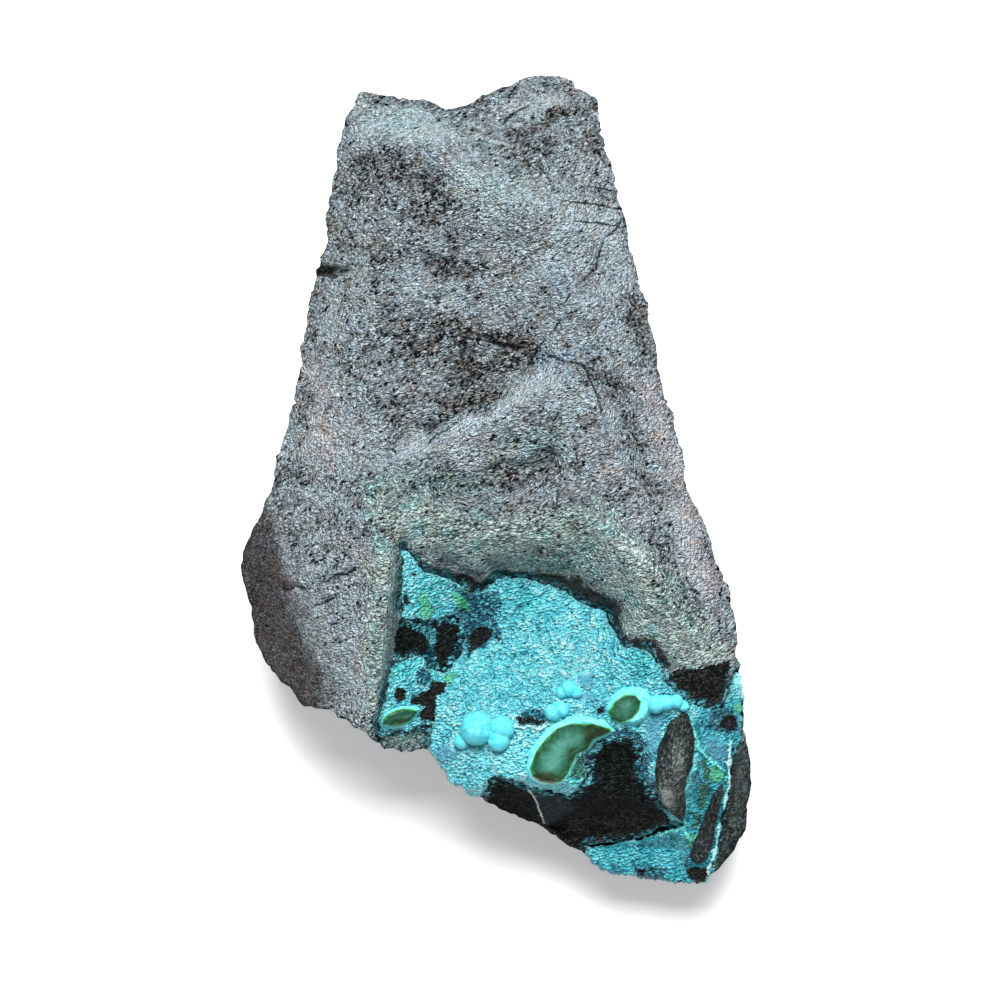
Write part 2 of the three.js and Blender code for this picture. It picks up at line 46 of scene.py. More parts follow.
OUTLINE = [
    (-15.5, 44), (-16.9, 39.9), (-18, 36.3), (-18.7, 32.9), (-19.2, 29.2), (-19, 27.8),
    (-20, 24.5), (-20.8, 21.1), (-21.4, 17.7), (-21.3, 16), (-22, 12.7), (-22.7, 9.3),
    (-23.4, 5.9), (-24.6, 2.5), (-25.4, -0.8), (-26.6, -4.2), (-28.2, -7.6), (-28.7, -9.4),
    (-28.1, -11.9), (-27.3, -16), (-27, -17.7), (-25.1, -21.1), (-23.3, -22.8), (-21.7, -24.7),
    (-17.5, -25.9), (-14.6, -27.8), (-12.5, -29.5), (-9.7, -30.1), (-7.6, -29.3), (-6.3, -31.1),
    (-4.6, -33.3), (-1.3, -35.7), (2.6, -37.5), (5.4, -39.2), (8.2, -41.4), (10.1, -42.1),
    (12.7, -44.2), (15.5, -44.6), (19.3, -45.1), (23.3, -45.6), (24.6, -44.4), (26.7, -41.4),
    (27.9, -38.8), (28.6, -34.7), (28.6, -30.4), (27.9, -28), (27.8, -24.9), (27.2, -21),
    (26.6, -19.2), (25.9, -14.3), (24.5, -8.7), (22.9, -4.2), (21.4, -0.8), (20.6, 3.7), (19.8, 7.6),
    (18.6, 11), (18, 14.3), (17.1, 19.4), (16, 22.8), (14.6, 27.8), (13.9, 31.2), (12.9, 34.6),
    (12.1, 38), (11.7, 41), (11.2, 42.5), (9.8, 44), (7.8, 44.9), (5.5, 45.7), (2.7, 45.4),
    (-0.7, 43.9), (-3.1, 42.6), (-5.2, 42.1), (-7.4, 42.6), (-10.8, 43.3),
]
SPINE_X, SPINE_LOW, SPINE_HIGH = 0.5, -26.0, 34.0
SIDE_SHARES = (0, 0.12, 0.3, 0.5, 0.85, 1)
SIDE_TUCKS = (5.4, 2.9, 1.1, 0, 0.3, 0.3)

FACE_SPOTS = [
    (-15, 42, 12.5), (-9, 41, 14.2), (-5, 40, 14.6), (0, 41.5, 14.4), (5, 43.5, 13.2), (10, 41, 13),
    (-17.5, 36, 12.6), (-10, 36, 16.2), (-3, 36, 16.6), (4, 37, 17.2), (11, 37, 14.2),
    (-18.5, 28, 12.6), (-12, 28, 16.4), (-3, 28, 17.4), (6, 28, 18.2), (13, 28, 14.6),
    (-20.5, 19, 12.6), (-14, 19, 17), (-5, 20, 17.4), (3, 20, 17.8), (10, 20, 18.6), (15.5, 20, 15),
    (-21.5, 12, 12.6), (-15, 11, 17.8), (-4, 13.5, 17), (3, 15, 17.8), (10, 12, 19.6), (17.3, 11, 15.6),
    (-23, 4.5, 12.6), (-16, 4, 18.6), (-8, 5.5, 19), (-1, 7.5, 20), (5, 10, 20.2), (12, 4, 20.6),
    (19.3, 4, 16.2), (2.5, 1.5, 19.8), (-12.5, -2, 21.4), (-6, -2.2, 21.2), (0, -3.3, 21.4),
    (7, -3.3, 21.6), (13, -4, 21.4), (-18, -4, 19), (-25, -3, 13.6), (-13, -9, 22),
    (-13.8, -18, 20.8), (-14.3, -25.5, 18.4), (-18.5, -10, 19.4), (-23, -10, 17), (-18, -18, 18.6),
    (-17, -23, 16.8), (17, -9, 21.2), (21.5, -14, 20.2), (23.4, -6, 16.8), (25.4, -16, 17.6),
    (26, -19, 17.2), (20, -19.5, 19.6),
]
FLOOR_SPOTS = [
    (-10.2, -7.2, 18.6), (-7.9, -12.9, 15.8), (-10.7, -17.3, 15.8), (-5.5, -18.4, 13.8),
    (-3, -13.5, 13.8), (-11, -23, 15.8), (-13, -28, 14.6), (-7.8, -28, 14), (1.4, -11.3, 14.4),
    (6.9, -12, 14), (6.9, -17.3, 15.2), (11.9, -15.1, 14.4), (11.3, -21.7, 16.6), (-1.9, -22.8, 15.2),
    (-4.6, -25.6, 15.2), (2.5, -25.2, 16.4), (-5.7, -29.6, 14.8), (0.3, -30, 17), (5.3, -27.8, 17.6),
    (10.2, -25.6, 17.8), (15.7, -22.8, 17.4), (17, -19, 18), (17.9, -23.9, 17), (15.7, -28.9, 16.8),
    (-2, -33.5, 14.8), (4, -36, 16.2), (12, -31.4, 15.6), (18, -33, 16.4), (10, -37, 16),
    (21, -31, 16.6), (22, -26.5, 15.6), (24.4, -29, 13.8), (26.8, -24, 13.8), (27.6, -28.6, 12.8),
    (22.8, -36, 12), (26.6, -35, 11.4), (25, -41, 8.8),
]
RIM = [
    (-15.2, -50), (-14, -30.7), (-13.3, -24), (-12.4, -17.4), (-11.8, -11.9), (-11.5, -5.5),
    (-10.8, -2.8), (-7.3, -3.3), (-2.9, -4.1), (2.7, -4.6), (8.2, -4.7), (11.5, -5.2), (14.8, -9.5),
    (17.4, -14), (19.6, -18), (20.9, -20.1), (22.9, -20.3), (25.4, -19.2), (26.6, -17.6), (34, -16.5),
    (34, -50),
]
FOOT = [
    (-14.2, -50), (-13.3, -28), (-12.6, -24.3), (-11.7, -19.7), (-10.9, -13.1), (-10.5, -9.2),
    (-10.2, -7), (-8.3, -9.4), (-5.1, -10.5), (-1.3, -12), (0, -10.5), (3.1, -10.5), (6.5, -11.4),
    (8.9, -12.8), (10.4, -13.7), (12.6, -14.5), (14.1, -18.3), (16.7, -18.2), (18.4, -20.6),
    (18.8, -22.1), (20.3, -23.6), (22, -24.7), (24.2, -25.2), (25.4, -24.9), (26.2, -22.6),
    (27.2, -20.6), (33, -20), (33, -50),
]
# The druse is banked up against the foot of the wall, and the wall rounds over into the rim
FOOT_BANK, FOOT_BANK_WIDTH, WALL_ROUNDING = 0.9, 3.5, 0.4
# A broken face: a point on it, the way it falls from there, and its slope
LEFT_BREAK = (-21.9, -12, 17.2, -0.96, -0.29, 1.05)
LOWER_BREAK = (8, -33.4, 16.7, -0.12, -0.99, 1.2)
LOWER_SHELF = (15, -41, 8.8, -0.1, -0.99, 0.45)
RIGHT_BREAK = (27, -33, 11.8, 0.95, -0.3, 1.3)
BACK_BREAKS = [
    (-3, 28, 0, -0.25, -0.97, 0.42), (-17, -14, 0, 0.86, 0.51, 0.62), (19, -31, 0, -0.5, 0.87, 0.5),
    (14, 6, 0, -0.97, -0.24, 0.7), (4, -30, 0, 0.35, 0.94, 0.55),
]
# Ridges and, where the height is negative, valleys of the grey face: a line of spots, height and width
SWELLS = [
    ([(-15.5, 38.2), (-6.2, 37.4)], 0.8, 1.9),
    ([(-14.6, 35.4), (-10.8, 34.8), (-6.2, 33.6)], -0.55, 1.2),
    ([(-6.2, 36.6), (0, 32), (7, 28.6), (13.4, 29.4)], 0.8, 2.2),
    ([(-4, 27.4), (3, 25.2), (9, 24)], -0.5, 2.2),
    ([(1, 38.8), (5.4, 40.8), (8.7, 40.1)], -0.6, 1),
    ([(5.6, 36), (10.8, 33.4)], -0.7, 1.8),
    ([(-7.2, 24.6), (-3, 23.2)], -0.7, 1),
    ([(-10, 27), (-5, 26)], 0.5, 1.2),
    ([(4.4, 13.2), (0, 10.4), (-4.4, 6.6), (-9.6, 4.9)], -1.4, 1.9),
    ([(-6, 18.5), (3, 17.2)], 0.6, 2),
    ([(7.5, 11.4), (0.8, 7.6), (-5.6, 4.6), (-10, 3)], 0.9, 1.3),
    ([(-4.6, -0.4), (1, -0.2), (5.6, 2.2)], -2, 1.9),
    ([(-7, -2.4), (0, -3.2), (6.4, -2.6)], 0.4, 1.2),
    ([(7, -1.6), (11.5, -4.6), (17, -9.5), (21, -16.6)], 0.8, 1.3),
    ([(10.2, -7.6), (15, -12.6)], -0.5, 1.3),
    ([(-12.4, -3), (-14.6, -26.6)], 0.6, 1.5),
    ([(-13.4, -2), (-11.6, -6.2)], -0.5, 0.8),
    ([(10.6, 11.3), (11.5, 6.9), (12.8, 3.6), (15.9, -1.9)], 0.6, 1.2),
    ([(14.4, 12.4), (15.6, 6), (17, 0.5)], -0.6, 1),
    ([(-19.3, -10.8), (-15.9, -9.2)], 0.5, 0.6),
    ([(-20, 8), (-15, 22)], 0.4, 2),
    ([(-16, -1), (-22, -6)], -0.5, 1.6),
    ([(-15.4, 43.6), (-6, 42)], -0.3, 0.8),
]
# Cracks and grooves: a line of spots, depth and width
GROOVES = [
    ([(15.4, 31.7), (13.6, 28.6), (12.2, 27.1), (11.1, 23.9), (8.6, 21.4), (7.8, 20.2)], 0.15, 0.2),
    ([(7, 17.8), (5.9, 16.2), (4.3, 14.8)], 0.15, 0.2),
    ([(5.2, 14.2), (7.4, 13.6), (9.7, 13), (10.4, 11.3), (11.1, 9.9), (11.6, 7.6)], 0.12, 0.25),
    ([(-1.7, 16), (0.4, 15.4), (2.7, 14.9)], 0.35, 0.25),
    ([(-7.4, 4.5), (-6.4, 5.5), (-4.4, 6.8)], 0.3, 0.25),
    ([(-20.6, 23.6), (-18.8, 23.8), (-17, 23.8)], 1.5, 0.55),
    ([(0.9, 40.4), (1.9, 41.4), (3.8, 42.3)], 0.3, 0.35),
    ([(8.1, 31.2), (14.1, 30.8)], 0.25, 0.3),
    ([(9.4, 29), (14.3, 28.7)], 0.25, 0.3),
    ([(10.9, 33), (13, 32.7)], 0.25, 0.3),
    ([(-23.8, -11.8), (-23, -12), (-22.2, -11.5), (-21.4, -11.9)], 0.6, 0.3),
    ([(-19.9, -13.6), (-18.9, -13.3), (-17.7, -12.5)], 0.7, 0.3),
    ([(-18.7, -10.9), (-17.6, -10.3), (-16.5, -10.2), (-15.6, -9.6)], 0.6, 0.3),
]


def stretch_distance(points, start, end):
    """Distance in mm from each point to the stretch between two spots."""
    start, end = np.array(start, float), np.array(end, float)
    way = end - start
    share = np.clip((points - start) @ way / (way @ way), 0, 1)
    return np.linalg.norm(points - start - share[:, None] * way, axis=1)


def line_distance(points, line):
    """Distance in mm from each point to a line of stretches."""
    return np.minimum.reduce([stretch_distance(points, a, b) for a, b in zip(line, line[1:])])


def beside_line(points, lines):
    """Distance in mm from each point to the nearest of some lines, negative on the lines' left sides."""
    nearest = np.full(len(points), np.inf)
    side = np.ones(len(points))
    for line in lines:
        for start, end in zip(line, line[1:]):
            distance = stretch_distance(points, start, end)
            along_x, along_y = end[0] - start[0], end[1] - start[1]
            across = along_x * (points[:, 1] - start[1]) - along_y * (points[:, 0] - start[0])
            closer = distance < nearest
            nearest = np.where(closer, distance, nearest)
            side = np.where(closer, np.where(across > 0, -1, 1), side)
    return nearest * side


def edge_distance(points, polygon):
    """Signed distance in mm from each point to a polygon's edge, negative inside."""
    nearest = np.full(len(points), np.inf)
    inside = np.zeros(len(points), bool)
    x, y = points[:, 0], points[:, 1]
    for (ax, ay), (bx, by) in zip(polygon, [*polygon[1:], polygon[0]]):
        nearest = np.minimum(nearest, stretch_distance(points, (ax, ay), (bx, by)))
        if ay != by:
            inside ^= ((ay > y) != (by > y)) & (x < ax + (y - ay) / (by - ay) * (bx - ax))
    return np.where(inside, -nearest, nearest)


def zone_distance(points, zones):
    """Signed distance in mm from each point to the nearest of some zones, negative inside."""
    return np.minimum.reduce([edge_distance(points, zone) for zone in zones])


def surface_through(spots):
    """The thin-plate surface through spot heights, as a function of points in the plane."""
    spots = np.array(spots, float)

    def bend(points):
        square = ((points[:, None, :] - spots[None, :, :2]) ** 2).sum(axis=2)
        return square * np.log(np.maximum(square, 1e-9))

    count = len(spots)
    plane = np.column_stack([np.ones(count), spots[:, :2]])
    matrix = np.block([[bend(spots[:, :2]), plane], [plane.T, np.zeros((3, 3))]])
    weights = np.linalg.solve(matrix, np.concatenate([spots[:, 2], np.zeros(3)]))
    return lambda points: bend(points) @ weights[:count] + weights[count] + points @ weights[count + 1 :]


def break_height(plane, points):
    """Height in mm of the plane of a break."""
    x, y, z, fall_x, fall_y, slope = plane
    return z - slope * ((points[:, 0] - x) * fall_x + (points[:, 1] - y) * fall_y)


grey_face = surface_through(FACE_SPOTS)
floor_through = surface_through(FLOOR_SPOTS)


def bumps_along(points, lines):
    """Sum of soft ridges along lines, each with its own height and width."""
    total = np.zeros(len(points))
    for line, height, width in lines:
        total += height * np.exp(-((line_distance(points, line) / width) ** 2))
    return total


def face_height(points):
    """Height in mm of the upper surface: grey face, wall of the hollow, and the hollow's floor."""
    lower = np.maximum(break_height(LOWER_BREAK, points), break_height(LOWER_SHELF, points))
    from_foot = edge_distance(points, FOOT)
    banked = floor_through(points) + FOOT_BANK * np.exp(-((from_foot / FOOT_BANK_WIDTH) ** 2))
    floor = np.minimum(np.minimum(banked, lower), break_height(RIGHT_BREAK, points))
    grey = np.minimum(grey_face(points) + bumps_along(points, SWELLS), break_height(LEFT_BREAK, points))
    from_foot = np.maximum(from_foot, 0)
    from_rim = np.minimum(edge_distance(points, RIM), 0)
    share = from_foot / np.maximum(from_foot - from_rim, 1e-6)
    share = WALL_ROUNDING * np.sin(np.pi / 2 * share) + (1 - WALL_ROUNDING) * share
    return BACK_LEVEL + floor + (grey - floor) * share


def ring_of(polygon, spacing, wobble=0.0, seed=0, frayed=0.15):
    """Evenly spaced points round a polygon, pushed about by noise. Frayed is the finest noise's share."""
    corners = np.array([*polygon, polygon[0]], float)
    along = np.concatenate([[0], np.cumsum(np.linalg.norm(np.diff(corners, axis=0), axis=1))])
    steps = np.linspace(0, along[-1], int(along[-1] / spacing), endpoint=False)
    ring = np.column_stack([np.interp(steps, along, corners[:, axis]) for axis in (0, 1)])
    for _ in range(2):
        ring = (np.roll(ring, 1, axis=0) + 2 * ring + np.roll(ring, -1, axis=0)) / 4
    noise.seed_set(seed + 1)
    pushed = ring.copy()
    for scale, share in ((0.35, 1.0), (0.9, 0.6), (2.1, frayed)):
        push = [noise.noise_vector((x * scale, y * scale, seed + scale)) for x, y in ring]
        pushed += wobble * share * np.array(push)[:, :2]
    return pushed


# Shares of the spacing: from row to row, the most that a point is shaken, and the margin kept clear
ROW_STEP, SHAKE, CLEAR_MARGIN = 0.866, 0.16, 0.6


def scatter_inside(ring, spacing, seed):
    """An even, slightly shaken scatter of points inside a ring."""
    rng = np.random.default_rng(seed)
    low, high = ring.min(axis=0), ring.max(axis=0)
    rows = np.arange(low[1], high[1], spacing * ROW_STEP)
    columns = np.arange(low[0], high[0], spacing)
    x, y = np.meshgrid(columns, rows)
    x = x + np.where(np.arange(len(rows)) % 2, spacing / 2, 0)[:, None]
    points = np.column_stack([x.ravel(), y.ravel()])
    points += rng.uniform(-SHAKE, SHAKE, points.shape) * spacing
    return points[edge_distance(points, ring.tolist()) < -CLEAR_MARGIN * spacing]


def fill(ring, spacing, seed=1):
    """Triangles over the inside of a ring: the points, ring first, and the triangles."""
    count = len(ring)
    points = np.vstack([ring, scatter_inside(ring, spacing, seed)])
    edges = [(i, (i + 1) % count) for i in range(count)]
    filled = delaunay_2d_cdt([Vector(p) for p in points.tolist()], edges, [], 1, 1e-7, False)
    points, triangles = np.array([tuple(v) for v in filled[0]]), np.array(filled[2])
    on_ring = np.flatnonzero((triangles < count).all(axis=1))
    outside = edge_distance(points[triangles[on_ring]].mean(axis=1), ring.tolist()) > 0
    return points, np.delete(triangles, on_ring[outside], axis=0)


def wall_between(upper, lower):
    """Triangles between two rings of vertex numbers, the outside on the right of the way round."""
    a, b = upper, np.roll(upper, -1)
    c, d = lower, np.roll(lower, -1)
    return np.vstack([np.column_stack([a, c, d]), np.column_stack([a, d, b])])


def vertex_normals(points, triangles):
    """The direction out of the surface at each point, of length 1."""
    a, b, c = (points[triangles[:, k]] for k in range(3))
    facing = np.cross(b - a, c - a)
    total = np.zeros(points.shape)
    for axis in range(3):
        for k in range(3):
            total[:, axis] += np.bincount(triangles[:, k], facing[:, axis], len(points))
    return total / np.maximum(np.linalg.norm(total, axis=1, keepdims=True), 1e-12)


def turbulence(points, size, octaves=4, seed=0.0):
    """Fractal noise at each point, about -1 to 1, with its largest forms of the given size in mm."""
    scaled = points / size + (seed, seed * 1.7, -seed)
    return np.array([noise.fractal(p, 1.0, 2.1, octaves) for p in scaled.tolist()])


def random_numbers(cells, seed):
    """Four random numbers from 0 to 1 for each whole-number cell, always the same."""
    primes = np.array([73856093, 19349663, 83492791])[: cells.shape[1]]
    mixed = np.zeros((len(cells), 4))
    for number in range(4):
        value = cells.astype(np.int64) @ primes + seed * 49979687 + number * 67867967
        value = (value & 0xFFFFFFFF).astype(np.uint32)
        for shift in (16, 13, 16):
            value = (value ^ (value >> np.uint32(shift))) * np.uint32(0x45D9F3B)
        mixed[:, number] = (value ^ (value >> np.uint32(15))) / 2**32
    return mixed


def grains(points, size, seed):
    """The nearest of a scatter of grain centres: distance in mm, offset from it, and its random numbers."""
    home = np.floor(points / size)
    nearest = np.full(len(points), np.inf)
    offset = np.zeros(points.shape)
    chance = np.zeros((len(points), 4))
    for step in np.ndindex(*[3] * points.shape[1]):
        cell = home + np.array(step) - 1
        numbers = random_numbers(cell, seed)
        away = points - (cell + 0.1 + 0.8 * numbers[:, : points.shape[1]]) * size
        distance = np.linalg.norm(away, axis=1)
        closer = distance < nearest
        nearest = np.where(closer, distance, nearest)
        offset[closer] = away[closer]
        chance[closer] = numbers[closer]
    return nearest, offset, chance


def smooth_step(values, low, high):
    share = np.clip((values - low) / (high - low), 0, 1)
    return share * share * (3 - 2 * share)


def within(distance, low, high):
    """1 inside a zone and 0 outside it, changing where the distance to its edge goes from low to high."""
    return 1 - smooth_step(distance, low, high)


def spots_at(points, spots):
    """Sum of soft round spots: centre, the two radii, and strength."""
    x, y = points[:, 0], points[:, 1]
    return sum(s * np.exp(-(((x - cx) / rx) ** 2) - ((y - cy) / ry) ** 2) for cx, cy, rx, ry, s in spots)


def build_piece(name, points, triangles, marks, finish):
    """One closed mesh from points in mm, with a value for each mark at each point, riding on the stone."""
    mesh = bpy.data.meshes.new(name)
    mesh.from_pydata((points * MM).tolist(), [], triangles.tolist())
    for mark, values in marks.items():
        mesh.attributes.new(mark, "FLOAT", "POINT").data.foreach_set("value", values.astype(np.float32))
    mesh.shade_smooth()
    mesh.materials.append(finish)
    piece = bpy.data.objects.new(name, mesh)
    bpy.context.collection.objects.link(piece)
    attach(piece, "root")
    return piece


class Wire:
    """A value that runs through a material. Sums and products of wires add Math nodes."""

    def __init__(self, finish, socket):
        self.finish = finish
        self.socket = socket

    def maths(self, operation, first, second):
        return self.finish.node("ShaderNodeMath", {"operation": operation}, {0: first, 1: second})

    def __add__(self, other):
        return self.maths("ADD", self, other)

    def __sub__(self, other):
        return self.maths("SUBTRACT", self, other)

    def __rsub__(self, other):
        return self.maths("SUBTRACT", other, self)

    def __mul__(self, other):
        return self.maths("MULTIPLY", self, other)

    __radd__ = __add__
    __rmul__ = __mul__

    def size(self):
        return self.maths("ABSOLUTE", self, 0)

    def step(self, low, high):
        """0 at low and 1 at high, with a smooth change between. High may be below low."""
        settings = {"interpolation_type": "SMOOTHSTEP"}
        inputs = {"Value": self, "From Min": low, "From Max": high}
        return self.finish.node("ShaderNodeMapRange", settings, inputs)


class Finish:
    """A material made of nodes, with one Principled shader. Its lengths are in mm."""

    def __init__(self, name, **constants):
        self.material = bpy.data.materials.new(name)
        self.material.use_nodes = True
        self.tree = self.material.node_tree
        self.shader = self.tree.nodes["Principled BSDF"]
        for socket, value in constants.items():
            self.shader.inputs[socket.replace("_", " ")].default_value = value
        place = self.node("ShaderNodeTexCoord", output="Object")
        self.place = self.node("ShaderNodeVectorMath", {"operation": "SCALE"}, {0: place, "Scale": 1 / MM})

    def node(self, kind, settings=None, inputs=None, output=0):
        made = self.tree.nodes.new(kind)
        for setting, value in (settings or {}).items():
            if setting == "stops":
                self.set_stops(made.color_ramp, value)
            else:
                setattr(made, setting, value)
        for key, value in (inputs or {}).items():
            if isinstance(value, Wire):
                self.tree.links.new(value.socket, made.inputs[key])
            else:
                made.inputs[key].default_value = value
        return Wire(self, made.outputs[output])

    def set_stops(self, ramp, stops):
        while len(ramp.elements) < len(stops):
            ramp.elements.new(0.5)
        for element, (position, colour) in zip(ramp.elements, stops):
            element.position = position
            element.color = (*colour, 1)

    def mark(self, name):
        return self.node("ShaderNodeAttribute", {"attribute_name": name}, output="Fac")

    def inside(self, mark, ragged, soft):
        """1 inside a marked zone and 0 outside it, with a ragged edge as soft as the given number of mm."""
        return (self.mark(mark) + ragged).step(soft, -soft)

    def noise(self, size, detail=4.0, roughness=0.6, place=None):
        """Noise about 0, from -0.5 to 0.5, with forms of the given size."""
        inputs = {"Vector": place or self.place, "Scale": 1 / size, "Detail": detail, "Roughness": roughness}
        return self.node("ShaderNodeTexNoise", {}, inputs) - 0.5

    def cells(self, size, place=None, output="Distance"):
        inputs = {"Vector": place or self.place, "Scale": 1 / size}
        return self.node("ShaderNodeTexVoronoi", {}, inputs, output)

    def ramp(self, value, *stops):
        return self.node("ShaderNodeValToRGB", {"stops": stops}, {0: value})

    def mix(self, share, first, second, blend="MIX"):
        first, second = ((*c, 1) if isinstance(c, tuple) else c for c in (first, second))
        inputs = {0: share, 6: first, 7: second}
        return self.node("ShaderNodeMix", {"data_type": "RGBA", "blend_type": blend}, inputs, 2)

    def layered(self, colour, share, value, *stops):
        """A colour with a ramp of another laid over it, as far as the share says."""
        return self.mix(share, colour, self.ramp(value, *stops))

    def tinted(self, share, colour, tint):
        """A colour multiplied by a tint, as far as the share says."""
        return self.mix(share, colour, tint, "MULTIPLY")

    def slanted(self, degrees, stretch):
        """The place turned about Z and drawn out along the turned X."""
        inputs = {"Vector": self.place, "Rotation": (0, 0, -np.radians(degrees))}
        turned = self.node("ShaderNodeMapping", {"vector_type": "POINT"}, inputs)
        inputs = {0: turned, 1: (1 / stretch, 1, 1)}
        return self.node("ShaderNodeVectorMath", {"operation": "MULTIPLY"}, inputs)

    def shaken(self, place, size, reach):
        """A place pushed about by noise whose forms have the given size, to break the edges of cells."""
        inputs = {"Vector": self.place, "Scale": 1 / size, "Detail": 3.0}
        push = self.node("ShaderNodeTexNoise", {}, inputs, "Color")
        inputs = {0: push, 1: (reach, reach, reach), 2: place}
        return self.node("ShaderNodeVectorMath", {"operation": "MULTIPLY_ADD"}, inputs)

    def surface(self, colour, roughness, height, depth):
        """Sets the colour, the roughness and the bumps, whose depth is in mm."""
        for socket, value in (("Base Color", colour), ("Roughness", roughness)):
            if isinstance(value, Wire):
                self.tree.links.new(value.socket, self.shader.inputs[socket])
            else:
                self.shader.inputs[socket].default_value = value
        bump = self.node("ShaderNodeBump", {}, {"Height": height, "Strength": 1.0, "Distance": depth * MM})
        self.tree.links.new(bump.socket, self.shader.inputs["Normal"])
        return self.material


# The edge of the crust, which at the top follows the foot of the wall
DRUSE = [
    (-10.2, -7.1), (-10.5, -9.2), (-10.8, -13.1), (-10.5, -15.3), (-8, -15.6), (-5.5, -14.7),
    (-3.6, -15.3), (-3.8, -18.7), (-5.5, -21.1), (-7.4, -20.9), (-7.9, -19.6), (-9.6, -19.4),
    (-11.4, -19.7), (-12.2, -21.9), (-12.7, -24.5), (-13.4, -26.7), (-13.2, -28), (-10.7, -27.9),
    (-7.6, -27.3), (-7.4, -28.6), (-8, -29.6), (-6.8, -31.3), (-5, -33.6), (-2.6, -35.2),
    (-1.5, -35.2), (-0.9, -33.5), (0.2, -32.8), (2.7, -33.5), (3.6, -34.2), (8, -35), (9.4, -34.3),
    (10.6, -33), (10.2, -31.7), (10.6, -30.2), (11.3, -28.9), (12.6, -28.3), (13.8, -28.1),
    (15.3, -28.6), (16.2, -29.6), (16.4, -30.6), (15.9, -31.7), (16.4, -32.8), (17.2, -34.2),
    (18.5, -35.4), (19.6, -37.7), (21, -38.8), (18.3, -39.3), (16.1, -40.5), (12.9, -40.9),
    (10.3, -41.3), (9.9, -42.4), (12.5, -44.6), (15.4, -45), (19.3, -45.4), (23.8, -45.7),
    (24.7, -43), (25.4, -40.3), (26.2, -36.6), (26.5, -33.4), (26.7, -31.5), (27.7, -28.5), (28, -24.9),
    (27.4, -21.2), (26.8, -20.6), *reversed(FOOT[9:25]), (-2.9, -12.2), (-5.1, -10.5), (-8.3, -9.4),
]
# Where the broken end shows fresh black rock
DARK_ROCK = [
    [
        (-0.6, -39), (-1.2, -35.2), (-0.9, -33.5), (0.2, -32.8), (2.7, -33.5), (5.5, -34),
        (8.6, -34.6), (9.6, -33.9), (10.6, -33), (10.2, -31.7), (10.6, -30.2), (11.3, -28.9),
        (12.6, -28.2), (13.8, -28), (15.3, -28.5), (16.2, -29.6), (16.4, -30.6), (15.9, -31.7),
        (16.4, -32.8), (17.2, -34.2), (18.5, -35.4), (19.6, -37.7), (21.2, -38.9), (18.3, -39.3),
        (16.1, -40.5), (12.9, -40.9), (10.3, -41.3), (9.4, -46),
    ],
    [
        (20.2, -20.5), (22.7, -20.7), (26.1, -19.6), (26.2, -22.2), (25.3, -25.1), (24.2, -25.4),
        (22, -24.9), (20.2, -23.7), (18.6, -22),
    ],
    [
        (-10.9, -15.3), (-10.1, -15.7), (-8.9, -16.4), (-7.7, -17.1), (-7.6, -17.7), (-7.6, -19.2),
        (-9.7, -19.4), (-11.5, -19.7), (-11.3, -17.4),
    ],
    [
        (-7.4, -15.4), (-6.6, -14.6), (-5.8, -14.8), (-5.3, -15.7), (-3.7, -16.2), (-3.7, -17.4),
        (-4, -19.1), (-4.9, -20.4), (-5.8, -21.3), (-6.4, -21.3), (-6.8, -19.4), (-6.8, -18.4),
        (-6.6, -16.7), (-7.4, -16),
    ],
]
# Blue dust lies on the rock between those dark clasts
DUSTED_ROCK = [
    (-10.7, -15.3), (-8, -15.6), (-5.5, -14.4), (-3.4, -14.6), (-3, -17.4), (-4.2, -19.4),
    (-5.2, -21.6), (-7.3, -21.3), (-8, -19.5), (-9.6, -19.5), (-11.4, -19.8),
]
SMOOTH_FACET = [(3.8, -34.4), (6.3, -34.3), (7.8, -35.5), (8.9, -36.5), (6.8, -38), (5.5, -38.8)]
CRUMBLING_BAND = [
    (-2, -36.5), (2, -38.2), (6.3, -38.8), (8.9, -37.5), (12.2, -37), (16.1, -36.7), (19.5, -37.1),
    (21.2, -38.2), (21.3, -39.5), (17.6, -40.6), (13, -42), (9, -46), (-2, -42),
]
SMOOTH_WALL = [
    (-14.6, -28.5), (-14.6, -23), (-14.3, -17.3), (-13.8, -12.9), (-13.6, -8.5), (-14.3, -4.1),
    (-15.3, 0.3), (-11.1, -0.3), (-6.2, -1.9), (-2.9, -3), (1, -3.6), (4.8, -3.3), (9.8, -1.9),
    (12.5, -2.4), (14.2, -4.2), (18.1, -8.4), (22, -12.8), (25.4, -17.5), (27, -20.4), (20, -21),
    (14, -19), (12, -14), (0, -10), (-10.2, -7), (-11, -22), (-12, -29),
]
# Painted shadow at the foot of the wall and in the gap beside the plate, and painted shade in the black
# notch in the left edge: a line of spots, strength and width
SHADED_LINES = [
    ([(-8.6, -8.8), (-5, -10.6)], 0.7, 0.35), ([(-5.2, -10.8), (-3.6, -11.4)], 1, 0.8),
    ([(-4, -11.5), (-1.6, -12.3), (0.2, -11.2)], 1.2, 1.15), ([(0.6, -10.2), (7.4, -10.7)], 0.8, 0.45),
    ([(8.4, -11.6), (12.9, -14)], 1.1, 0.95), ([(12.9, -14.2), (13.7, -17.2)], 0.9, 0.6),
    ([(14.4, -17.6), (17.4, -17.8), (18.9, -20.2)], 0.9, 0.5),
    ([(26.8, -31), (26.5, -35.4), (25.8, -39.4), (25.1, -42.6)], 0.9, 0.3),
    ([(-19.9, 23.7), (-18.8, 23.6)], 1.8, 0.34), ([(-18.8, 23.6), (-18, 23.4)], 0.8, 0.28),
]
